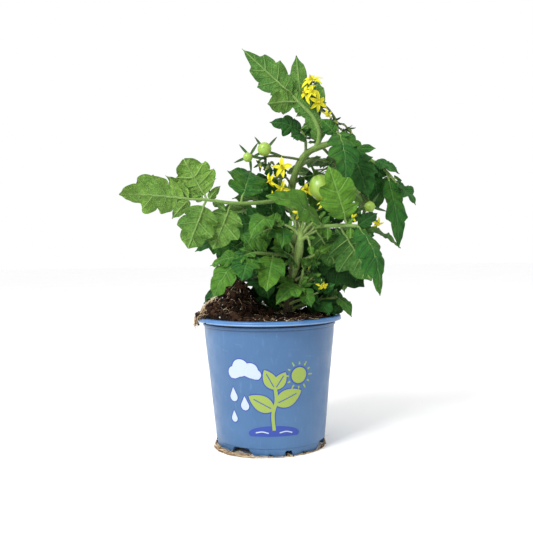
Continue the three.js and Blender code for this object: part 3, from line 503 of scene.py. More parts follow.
def pot_paint():
    """Thin satin blue plastic: faint turning marks, pale streaks, a painted highlight at the lip's lower
    edge, painted shade under the lip and in the crease, a little soil near the lip.
    """
    p = Paint("pot_plastic", roughness=0.36, coat_weight=0.12, coat_roughness=0.3)
    height = p.node("SeparateXYZ", {0: p.node("TexCoord").outputs["Object"]}).outputs[2]
    body = p.blend(p.noise(14, 3, 0.6), 0.3, 0.7, "#33608e", "#3f6c9a")
    body = p.blend(p.noise(420, 3, at=p.place((1, 1, 0.25))), 0.55, 0.8, body, "#5f88b4", 0.3)
    # Painted shade: a dark line along the crease below the shoulder band.
    from_crease = p.math("ABSOLUTE", p.math("SUBTRACT", height, 0.1095))
    body = p.mix(p.scaled(from_crease, 0.0, 0.0008, 0.9, 0.0), body, "#1d3f6c")
    lip = p.blend(p.noise(60, 3), 0.3, 0.7, "#36689f", "#487bb4")
    # Painted highlight: a pale line along the lip's lower edge.
    lip = p.mix(p.scaled(height, 0.1152, 0.1159, 0.5, 0.0), lip, "#93b7dc")
    # Painted shade: a dark navy band on the wall under the lip, where the lip shades it.
    painted_shade_under_lip = p.blend(height, 0.1120, 0.1125, body, "#0b1a35")
    colour = p.blend(height, 0.1142, 0.1145, painted_shade_under_lip, lip)
    near_lip = p.scaled(p.noise(330, 4, 0.7), 0.62, 0.72)
    dirt = p.times(near_lip, p.scaled(height, 0.1, 0.118, 0.0, 0.6))
    colour = p.mix(dirt, colour, "#4a3a2c")
    p.colour(p.blend(p.noise(55, 5, 0.75, at=p.place((1, 1, 3))), 0.62, 0.7, colour, "#87a7c6", 0.25))
    p.roughness(p.scaled(p.noise(80, 3), 0.3, 0.7, 0.3, 0.46))
    rings = p.math("SINE", p.times(height, 5200.0))
    p.relief(p.plus(p.times(rings, 0.12), p.noise(700, 2)), 0.04)
    return p.material


def ink_paint(name, code, worn):
    """Screen print ink, thin enough for the plastic's grain to show."""
    p = Paint(name, roughness=0.42)
    p.colour(p.blend(p.noise(1500, 2, 0.6), 0.5, 0.72, code, worn, 0.5))
    p.relief(p.noise(900, 2), 0.04)
    return p.material


def soil_paint():
    p = Paint("potting_soil", roughness=0.92, gloss=0.1)
    colour = p.blend(p.noise(230, 4, 0.65), 0.3, 0.7, "#0e0906", "#2e1e14")
    colour = p.blend(p.noise(900, 3, 0.7), 0.6, 0.72, colour, "#6b4b31", 0.6)
    p.colour(p.blend(p.noise(1700, 1), 0.72, 0.76, colour, "#a89373", 0.7))
    p.relief(p.noise(650, 5, 0.7), 0.9)
    return p.material


def tinted_paint(name, dark, light, scale, rough, relief):
    """For many small bodies: each has its own tint from dark to light."""
    p = Paint(name, roughness=rough, gloss=0.15)
    tint = p.own("tint")[0]
    grain = p.noise(scale, 4, 0.65)
    level = p.plus(tint, p.scaled(grain, 0.2, 0.8, -0.35, 0.35))
    p.colour(p.blend(level, 0.0, 1.0, dark, light))
    p.relief(grain, relief)
    return p.material


# Leaflets. Their outline, lobes and bends follow the same formulas as the solids.
SINUS_DEPTH = 0.5
LOBE_LEAN = 0.045
LOBE_PEAK = 0.6
VEIN_SWEEP = 0.62
EDGE_RIPPLE = 0.1
STALKLET_SHARE = 0.13
END_STALKLET_SHARE = 0.04
BLADE_THICKNESS = 0.36
ROWS_IN_ALL = 60
COLUMNS = 15
BLADE_END = 0.995
RIB_HALF_WIDTH = 0.8
LEAST_HALF_WIDTH = 0.12
BLADE_LOOKS = {"point": (0.34, 0.6), "droop": (0, 0.16), "twist": (-10, 10), "curl": (0, 0.16)}
HAIR_LENGTH = 1.5
HAIRS_PER_MM = 3.2
SHOOT_HAIRS = 170
HAIRS = Shape()
BENDS = [(0, 0)]
for angle in (9, 18, 28, 38, 50):
    BENDS += [(angle, 0), (-angle, 0), (0, angle), (0, -angle), (angle, angle), (-angle, -angle)]


def leaf(share, tip, width, lobes=3, face=None, arch=0.06, fold=0.16, **looks):
    """A leaflet: where on the stalk it starts, its tip, its width, its lobes to a side and where it faces.

    looks: point, cut, droop, twist, curl and tone, which only the finished leaflet has. A tone above 1 is
    painted shade.
    """
    stalklet = END_STALKLET_SHARE if share == 1 else STALKLET_SHARE
    plain = {"share": share, "tip": np.array(tip, float), "width": width, "lobes": lobes, "face": face}
    return {**plain, "arch": arch, "fold": fold, "stalklet": stalklet, **looks}


def frond(name, stalk, radii, face, tone, *leaflets, between=1, small=(9, 17), wing=0, lobes=()):
    """A frond's row; its tone above 1 is painted shade. between and small: pairs of small leaflets in each
    gap, and how long these are.

    wing: how far the stalk's leafy wings reach to each side. lobes: share, tip, width and tone of the small
    leaflets that grow from the foot of a large one.
    """
    face = np.array(face, float)
    for row in leaflets:
        row["from"] = point_on(stalk, row["share"])
        row["face"] = np.array(row["face"], float) if row["face"] else face
        row.setdefault("tone", tone)
    plain = {"name": name, "stalk": stalk, "radii": radii, "face": face, "tone": tone, "leaflets": leaflets}
    return {**plain, "between": between, "small": small, "wing": wing, "lobes": lobes}


def across_of(face, ahead):
    """The direction across ahead that is nearest to face, and the one to the side of both."""
    normal = unit(face - ahead * (face @ ahead))
    return normal, np.cross(normal, ahead)


def turned(v, axis, degrees):
    """v turned round an axis."""
    return np.array(Matrix.Rotation(math.radians(degrees), 3, Vector(axis)) @ Vector(v))


def bent(leaflet, bend):
    """The leaflet turned about its foot by lift and sway, as the solids are to clear their neighbours."""
    lift, sway = bend
    along = leaflet["tip"] - leaflet["from"]
    normal, side = across_of(leaflet["face"], unit(along))

    def turn(v):
        return turned(turned(v, normal, sway), side, -lift)

    return {**leaflet, "tip": leaflet["from"] + turn(along), "face": turn(normal)}


def outline(u, point=0.44):
    """A blade's half width over its greatest one, from foot to tip. A larger point makes it more pointed."""
    u = np.clip(u, 0, 1)
    return np.sin(math.pi * u**0.7) ** (0.66 + point * u)


class Blade:
    """The middle surface of a leaflet's blade: u runs from its foot to its tip, r across from -1 to 1."""

    def __init__(self, leaflet, rng):
        along = leaflet["tip"] - leaflet["from"]
        self.leaflet = leaflet
        self.foot = leaflet["from"]
        self.length = float(np.linalg.norm(along))
        self.ahead = along / self.length
        self.normal, self.side = across_of(leaflet["face"], self.ahead)
        self.lobes = leaflet["lobes"]
        self.reaches = rng.uniform(0.94, 1.08, (2, 2 * self.lobes + 1))
        self.depths = leaflet.get("cut", 1.0) * rng.uniform(0.75, 1.35, (2, 2 * self.lobes + 1))
        for look, span in BLADE_LOOKS.items():
            setattr(self, look, leaflet.get(look, rng.uniform(*span)))
        self.wave = rng.uniform(0, TURN, 4)
        self.quilt = 0.042 * leaflet["width"] ** 0.85
        self.crumple = 0.018 * leaflet["width"]
        middle = (np.arange(self.lobes) + 0.5) / self.lobes
        share = self.half_width(middle, 1.0) * 2 / leaflet["width"]
        starts = (middle + LOBE_LEAN) / (1 + VEIN_SWEEP * share**1.15)
        self.starts = np.maximum.accumulate(starts + 0.02 * np.arange(self.lobes))
        self.pitch = self.length * (1 - leaflet["stalklet"]) * 0.8 / self.lobes

    def half_width(self, u, r):
        """Half the blade's width beside u, with pointed lobes between sharp notches."""
        u, r = np.broadcast_arrays(np.asarray(u, float), np.asarray(r, float))
        hand = (r < 0).astype(int)
        phase = u * 2 * self.lobes
        within = (phase / 2) % 1
        away = np.where(within < LOBE_PEAK, 1 - within / LOBE_PEAK, (within - LOBE_PEAK) / (1 - LOBE_PEAK))
        arc = 0.85 * np.sqrt(np.clip(1 - away**2, 0, 1)) + 0.15 * (1 - away)
        notch = np.clip(np.round(phase / 2).astype(int) * 2, 0, 2 * self.lobes)
        lobe = np.clip((np.floor(phase / 2) * 2 + 1).astype(int), 0, 2 * self.lobes)
        depth = np.where(phase < 2 * LOBE_PEAK, 0, SINUS_DEPTH * (1 - u) ** 0.8 * self.depths[hand, notch])
        reach = 1 + (self.reaches[hand, lobe] - 1) * arc
        half = self.leaflet["width"] / 2 * outline(u, self.point) * (1 - depth * (1 - arc)) * reach
        half = half * (1 + 0.02 * np.sin(41 * u + self.wave[0]) * np.sin(17 * u + self.wave[3]))
        return np.maximum(half, LEAST_HALF_WIDTH)

    def lean(self, u, out):
        """How far forward the lobes point, as a share of the blade's length."""
        phase = u * 2 * self.lobes
        near = np.abs((phase + 1) % 2 - 1)
        near = near * near * (3 - 2 * near)
        forward = np.where(phase < 1, LOBE_LEAN * phase, LOBE_LEAN * (1.5 * near - 0.5))
        return forward * out**1.3 * np.clip((1 - u) * 4, 0, 1)

    def at(self, u, r):
        """The point at u, r, with the fold, quilting, curl, droop, waves and twist of a grown leaf."""
        u, r = np.broadcast_arrays(np.asarray(u, float), np.asarray(r, float))
        out = np.abs(r)
        reach = self.half_width(u, r) * out
        stalklet = self.leaflet["stalklet"]
        s = stalklet + (1 - stalklet) * (u + self.lean(u, out))
        fold = self.leaflet["fold"] + EDGE_RIPPLE * np.cos(TURN * self.lobes * u)
        lift = fold * (np.sqrt(reach**2 + 2.2) - 1.48)
        cells = np.abs(np.sin(TURN * self.vein_phase(u, r)))
        lift += self.quilt * cells * np.clip(out * 3, 0, 1) * (1.15 - out)
        rolled = 2 * self.curl * out + 1e-6
        lift -= reach * (1 - np.cos(rolled)) / rolled
        lift -= self.droop * self.length * np.clip(u - 0.5, 0, 1) ** 2
        lift += 0.06 * reach * np.sin(9 * u + self.wave[0]) * np.sign(r)
        lift += 0.14 * reach * out * np.sin(14 * u + self.wave[3] + 1.7 * np.sign(r))
        lift += 0.4 * np.sin(7 * u + self.wave[1]) * np.sin(2.5 * r + self.wave[2])
        across = np.sign(r) * reach
        folds = np.sin(0.52 * s * self.length + self.wave[2]) * np.sin(0.6 * across + self.wave[3])
        lift += self.crumple * folds
        reach = reach * np.sin(rolled) / rolled
        twist = np.radians(self.twist) * u
        lift = lift + reach * np.sign(r) * np.sin(twist)
        arch = self.leaflet["arch"] * self.length * 4 * s * (1 - s)
        return (
            self.foot
            + (s * self.length)[..., None] * self.ahead
            + (np.sign(r) * reach * np.cos(twist))[..., None] * self.side
            + (arch + lift)[..., None] * self.normal
        )

    def vein_phase(self, u, r):
        """Whole numbers where a side vein runs, from the midrib out to the tip of a lobe."""
        out = np.abs(r)
        across = self.half_width(u, r) * out * 2 / self.leaflet["width"]
        start = (u + self.lean(u, out)) / (1 + VEIN_SWEEP * across**1.15)
        places = np.array([0, *self.starts, 1])
        phases = np.array([-0.55, *range(self.lobes), self.lobes - 0.2])
        return np.interp(start, places, phases)

    def vein(self, start, hand, reach):
        """u and r along the side vein that leaves the midrib at start, out to a share of the half width."""
        across = np.linspace(0.03, 1, 40)
        ahead = start * (1 + VEIN_SWEEP * across**1.15)
        u = np.minimum(ahead, 1)
        for _ in range(4):
            half = self.half_width(u, hand) * 2 / self.leaflet["width"]
            r = np.clip(across / half, 0, 1)
            u = np.clip(ahead - self.lean(u, r), 0.002, 0.97)
        inside = (across < half * reach) & (ahead <= 1)
        last = len(inside) if inside.all() else int(np.argmin(inside))
        picks = np.linspace(0, last - 1, min(last, 8)).astype(int) if last >= 4 else []
        return u[picks], hand * r[picks]

    def rows(self):
        """Places along the blade, close together where a notch is."""
        steps = max(6, round(ROWS_IN_ALL / (2 * self.lobes)))
        share = np.arange(steps) / steps
        u = []
        for i in range(2 * self.lobes):
            eased = share**1.6 if i % 2 == 0 else 1 - (1 - share) ** 1.6
            u.extend((i + eased) / (2 * self.lobes))
        return np.array([*u, BLADE_END])

    def below(self, u, r, depth):
        """Points of the line u, r, sunk to the under side."""
        small = 0.004
        here = self.at(u, r)
        along = self.at(u + small, r) - here
        across = self.at(u, r + small * 4) - here
        return here - unit(np.cross(along, across)) * np.asarray(depth)[..., None]


def add_leaflet(shape, leaflet, rng, rows=None, columns=COLUMNS):
    """One finished leaflet: blade, stalklet with midrib, and side veins that stand out below.

    A small one has a plain grid with a number of rows, a thinner midrib and no raised side veins.
    """
    blade = Blade(leaflet, rng)
    u = np.linspace(0, BLADE_END, rows) if rows else blade.rows()
    share = np.linspace(-1, 1, columns)
    r = np.sign(share) * np.abs(share) ** 1.2
    uu, rr = np.meshgrid(u, r, indexing="ij")
    grid = blade.at(uu, rr)
    out = np.abs(rr)
    vein = np.stack([blade.vein_phase(uu, rr), out * blade.half_width(uu, rr), out], -1)
    tone = leaflet["tone"] + 0.25 * (rng.random() - 0.5)
    looks = np.stack([uu, np.full(uu.shape, tone), np.full(uu.shape, blade.pitch)], -1)
    sheet_body(shape, grid, BLADE_THICKNESS, vein=vein, leaf=looks)
    size = min(1.0, leaflet["width"] / 30)
    rib_u = np.linspace(0, 0.96, 7 if rows else 16)
    rib = blade.below(rib_u, 0.0 * rib_u, 0.2 + 0.45 * (1 - rib_u))
    foot = blade.foot + (rib[0] - blade.foot) * np.linspace(0, 1, 5)[:-1, None]
    radii = np.concatenate([np.full(len(foot), 1.05 * size), (1.05 - 0.87 * rib_u) * size])
    tube(shape, np.vstack([foot, rib]), radii, sides=5 if rows else 7, paint=1)
    if rows:
        return
    minor = (blade.starts[1:] + blade.starts[:-1]) / 2
    for starts, thick, reach in ((blade.starts, 0.5, 0.9), (minor, 0.26, 0.7)):
        for start in starts:
            for hand in (-1, 1):
                u, r = blade.vein(start, hand, reach)
                if len(u):
                    path = blade.below(u, r, np.full(len(u), 0.17))
                    tube(shape, path, np.linspace(thick * size, 0.1, len(u)), sides=5, paint=1)


def chosen_bend(leaflet, tree):
    """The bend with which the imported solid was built: the one whose edge and tip lie nearest to it."""

    def distance(bend):
        blade = bent(leaflet, bend)
        along = blade["tip"] - blade["from"]
        length = np.linalg.norm(along)
        normal, side = across_of(blade["face"], along / length)
        s = blade["stalklet"] + (1 - blade["stalklet"]) / (2 * blade["lobes"])
        reach = blade["width"] / 2 * outline(0.5 / blade["lobes"])
        fold = blade["fold"] - EDGE_RIPPLE
        rise = blade["arch"] * length * 4
        place = s + LOBE_LEAN
        lift = rise * place * (1 - place) + fold * (reach - RIB_HALF_WIDTH)
        edges = [blade["from"] + along * place + side * reach * hand + normal * lift for hand in (-1, 1)]
        return sum(tree.find_nearest(Vector(point * MM))[3] for point in [blade["tip"], *edges])

    return min(BENDS, key=distance)


def tree_of(name):
    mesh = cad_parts[name].data
    return BVHTree.FromPolygons([v.co for v in mesh.vertices], [p.vertices for p in mesh.polygons])


def winged_stalk(shape, stalk, half, face, tone, rng):
    """The broad leafy wings of a frond's stalk, which run on into its last leaflet."""
    first = 0.06
    share = np.linspace(first, 1, 40)
    line = line_through(stalk, share * (len(stalk) - 1))
    ahead = unit(np.gradient(line, axis=0))
    normal = unit(face - ahead * (ahead @ face)[:, None])
    side = np.cross(normal, ahead)
    r = np.linspace(-1, 1, 11)
    run = run_along(line)
    reach = half * np.minimum(1, 0.3 + 6 * (share - first))[:, None] * np.ones_like(r)
    for hand in (-1, 1):
        start = rng.uniform(0, 6)
        rim = 1 + 0.1 * np.sin(run / 2.6 + start) + 0.08 * np.sin(run / 1.1 + 2 * start)
        reach = np.where(np.sign(r) == hand, reach * rim[:, None], reach)
    across = reach * r
    lift = 0.32 * np.abs(across) - 0.45 * np.abs(r) ** 3 + 0.5 * np.sin(run / 3.1)[:, None] * r
    grid = line[:, None] + across[..., None] * side[:, None] + lift[..., None] * normal[:, None]
    out = np.broadcast_to(np.abs(r), reach.shape)
    vein_pitch = 8.0
    phase = run[:, None] / vein_pitch - 0.5 * out
    vein = np.stack([phase, np.abs(across), out], -1)
    look = np.stack(np.broadcast_arrays(share[:, None], np.full(reach.shape, tone), vein_pitch), -1)
    sheet_body(shape, grid, BLADE_THICKNESS, vein=vein, leaf=look)


def small_leaflets(row, rng):
    """Rows of the small leaflets that grow along a frond's stalk between the large ones."""
    shares = sorted({leaflet["share"] for leaflet in row["leaflets"]} | {0.16})
    rows = []
    for low, high in zip(shares, shares[1:]):
        if high - low < 0.08:
            continue
        for hand in (-1, 1) * row["between"]:
            share = low + (high - low) * rng.uniform(0.2, 0.8)
            start = point_on(row["stalk"], share)
            ahead = unit(point_on(row["stalk"], min(share + 0.1, 1.0)) - start)
            large = min(row["leaflets"], key=lambda other: abs(other["share"] - share))
            face = unit(large["face"])
            side = unit(np.cross(face, ahead)) * hand
            length = rng.uniform(*row["small"])
            down = np.array((0, 0, rng.uniform(-0.9, 0.1)))
            tip = start + length * unit(side + rng.uniform(0.1, 0.8) * ahead + down + 0.25 * face)
            width = length * rng.uniform(0.4, 0.55)
            small = leaf(share, tip, width, 1, face, tone=large["tone"], stalklet=0.2)
            rows.append({**small, "from": start})
    return rows


def frond_piece(row):
    """A whole compound leaf: its grooved stalk, its leaflets and small leaflets between them."""
    stalk = row["stalk"]
    rng = seeded(row["name"])
    shape = Shape()
    tree = tree_of(row["name"])
    line = smooth_line(stalk, 26)
    share = np.linspace(0, 1, len(line))
    first, last = row["radii"]
    radii = first + (last - first) * share + 0.9 * np.exp(-((share / 0.1) ** 2))
    radii = radii * (1 + 0.05 * np.sin(share * 23 + rng.random() * 6))
    tube(shape, line, radii, sides=10, paint=1)
    hairs_on(HAIRS, line[3:], radii[3:], int(run_along(line)[-1] * HAIRS_PER_MM), HAIR_LENGTH, rng)
    if row["wing"]:
        winged_stalk(shape, stalk, row["wing"], row["face"], row["tone"], rng)
    for between in small_leaflets(row, rng):
        add_leaflet(shape, between, rng, rows=13, columns=7)
    for leaflet in row["leaflets"]:
        add_leaflet(shape, bent(leaflet, chosen_bend(leaflet, tree)), rng)
    for share, tip, width, tone in row["lobes"]:
        lobe = leaf(share, tip, width, 2, unit(row["face"]), tone=tone, stalklet=0.05)
        add_leaflet(shape, {**lobe, "from": point_on(stalk, share)}, rng, rows=21, columns=9)
    piece = shape.piece(row["name"] + "_leaf", [LEAF, STALK])
    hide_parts(row["name"])


# Young shoots and growth between the fronds darkened with painted shade, which are too small for solids of
# their own.
# Each row: the line of its stalk, the radii along it, how many leaflets, how long these are, and their tone,
# which above 1 is painted shade.
THICK_SHOOT = [(23, -2, 152), (25, -11, 163), (27, -16, 175), (29, -19, 187), (30, -20, 197)]
SHOOTS = [
    (THICK_SHOOT, (2, 3, 4.5, 3.2, 2.4), 0, (), 0),
    ([(29, -19, 190), (26, -21, 199), (21, -22, 207)], (1.8, 0.9), 3, (6, 10), 0),
    ([(29, -19, 192), (31, -22, 202), (33, -23, 211)], (1.7, 0.8), 3, (6, 11), 0),
    ([(30, -19, 190), (36, -22, 198), (43, -24, 204)], (1.8, 0.9), 3, (6, 10), 0),
    ([(29, -18, 186), (38, -22, 192), (50, -25, 197)], (1.7, 0.8), 3, (6, 10), 0.1),
    ([(29, -19, 188), (24, -21, 195), (15, -23, 200)], (1.7, 0.8), 3, (6, 11), 0.2),
    ([(29, -19, 186), (35, -23, 189), (37, -26, 181)], (1.8, 0.9), 2, (7, 11), 0),
    ([(26, -12, 170), (17, -20, 187), (6, -26, 197), (-4, -28, 194)], (1.5, 0.8), 4, (8, 14), 0.4),
    ([(26, -12, 168), (35, -18, 170), (45, -22, 175)], (1.5, 0.8), 4, (8, 14), 0.3),
    ([(27, -3, 160), (22, -15, 170), (14, -21, 176)], (1.4, 0.7), 6, (10, 18), 0.6),
    ([(25, -4, 150), (35, -14, 158), (40, -18, 170)], (1.3, 0.6), 6, (8, 15), 0.5),
    ([(26, -3, 144), (40, -12, 150), (52, -18, 160)], (1.4, 0.7), 6, (10, 18), 1.3),
    ([(19, -3, 128), (32, -12, 134), (47, -18, 140)], (1.4, 0.7), 6, (10, 18), 1.4),
    ([(22, 4, 132), (14, 14, 142), (2, 18, 148)], (1.7, 0.8), 9, (13, 24), 1.8),
    ([(20, 4, 122), (8, 14, 128), (-6, 17, 136)], (1.7, 0.8), 9, (13, 24), 1.9),
    ([(22, 5, 140), (30, 16, 150), (42, 20, 154)], (1.7, 0.8), 9, (13, 24), 1.9),
    ([(20, 4, 122), (36, 13, 128), (52, 17, 134)], (1.7, 0.8), 9, (13, 24), 1.9),
    ([(24, 5, 160), (18, 18, 172), (8, 22, 184)], (1.7, 0.8), 9, (14, 26), 1.8),
    ([(27, 5, 176), (38, 18, 186), (52, 22, 196)], (1.7, 0.8), 9, (14, 26), 1.8),
    ([(23, 4, 150), (10, 12, 160), (-4, 16, 172)], (1.7, 0.8), 9, (14, 26), 1.7),
    ([(22, 6, 150), (40, 14, 164), (58, 18, 172)], (1.7, 0.8), 9, (14, 26), 1.9),
    ([(16, 6, 119), (0, 20, 123), (-14, 26, 129)], (1.7, 0.8), 9, (14, 24), 1.9),
    ([(24, 5, 156), (14, 12, 162), (4, 14, 172)], (1.7, 0.8), 9, (13, 22), 1.7),
    ([(23, 4, 146), (17, 9, 152), (10, 11, 160)], (1.4, 0.7), 8, (11, 19), 1.8),
    ([(24, 3, 160), (19, 8, 158), (13, 10, 150)], (1.4, 0.7), 7, (11, 18), 1.8),
    ([(29, -19, 190), (32, -22, 198), (37, -25, 209)], (1.0, 0.5), 1, (5, 8), 0),
    ([(29, -19, 192), (28, -23, 201), (26, -26, 210)], (1.0, 0.5), 1, (5, 8), 0),
    ([(30, -19, 188), (40, -24, 196), (46, -27, 207)], (1.0, 0.5), 1, (5, 8), 0),
    ([(24, -2, 138), (29, -12, 146), (31, -17, 160)], (1.5, 1.1), 3, (5, 8), 0),
    ([(24, -3, 144), (34, -12, 148), (41, -17, 154)], (1.2, 0.8), 2, (6, 9), 0.2),
    ([(17, 6, 118), (8, 24, 122), (-6, 32, 127)], (1.7, 0.8), 8, (13, 21), 1.9),
    ([(17, 6, 118), (27, 22, 121), (40, 30, 126)], (1.7, 0.8), 8, (13, 21), 1.9),
    ([(24, 9, 228), (12, 12, 242), (0, 12, 246)], (1.4, 0.7), 8, (12, 17), 1.5),
    ([(25, 9, 226), (36, 13, 238), (46, 14, 241)], (1.4, 0.7), 6, (10, 14), 1.7),
]
SHADED_TONE = 1.4


def shoots_piece():
    """All the shoots, each with its leaflets by turns to the left and right, and one at its tip."""
    rng = seeded("shoots")
    shape = Shape()
    for stalk, ends, count, lengths, tone in SHOOTS:
        line = smooth_line(stalk, 16)
        radii = np.interp(np.linspace(0, 1, len(line)), np.linspace(0, 1, len(ends)), ends)
        tube(shape, line, radii, sides=8, paint=2)
        hairs_on(HAIRS, line, radii, SHOOT_HAIRS, HAIR_LENGTH, rng)
        for k in range(count):
            share = 1.0 if k == 0 else 0.25 + 0.75 * k / count
            start = point_on(stalk, share)
            ahead = unit(start - point_on(stalk, share - 0.1))
            face = unit(np.array((rng.normal() * 0.5, -0.8, 0.5)) + 0.3 * rng.normal(size=3))
            side = unit(np.cross(face, ahead)) * (1 if k % 2 else -1)
            length = rng.uniform(*lengths) * (1.15 if k == 0 else 1)
            way = ahead if k == 0 else side + rng.uniform(0.2, 0.9) * ahead
            tip = start + length * unit(way + (0, 0, rng.uniform(-0.9, 0.2)) + 0.25 * face)
            width = length * rng.uniform(0.5, 0.65)
            young = leaf(share, tip, width, 2, face, tone=tone + rng.uniform(-0.15, 0.15))
            columns = 9 if tone < SHADED_TONE else 7
            add_leaflet(shape, {**young, "from": start}, rng, rows=17, columns=columns)
    shape.piece("young_shoots", [LEAF, STALK, YOUNG_STALK])


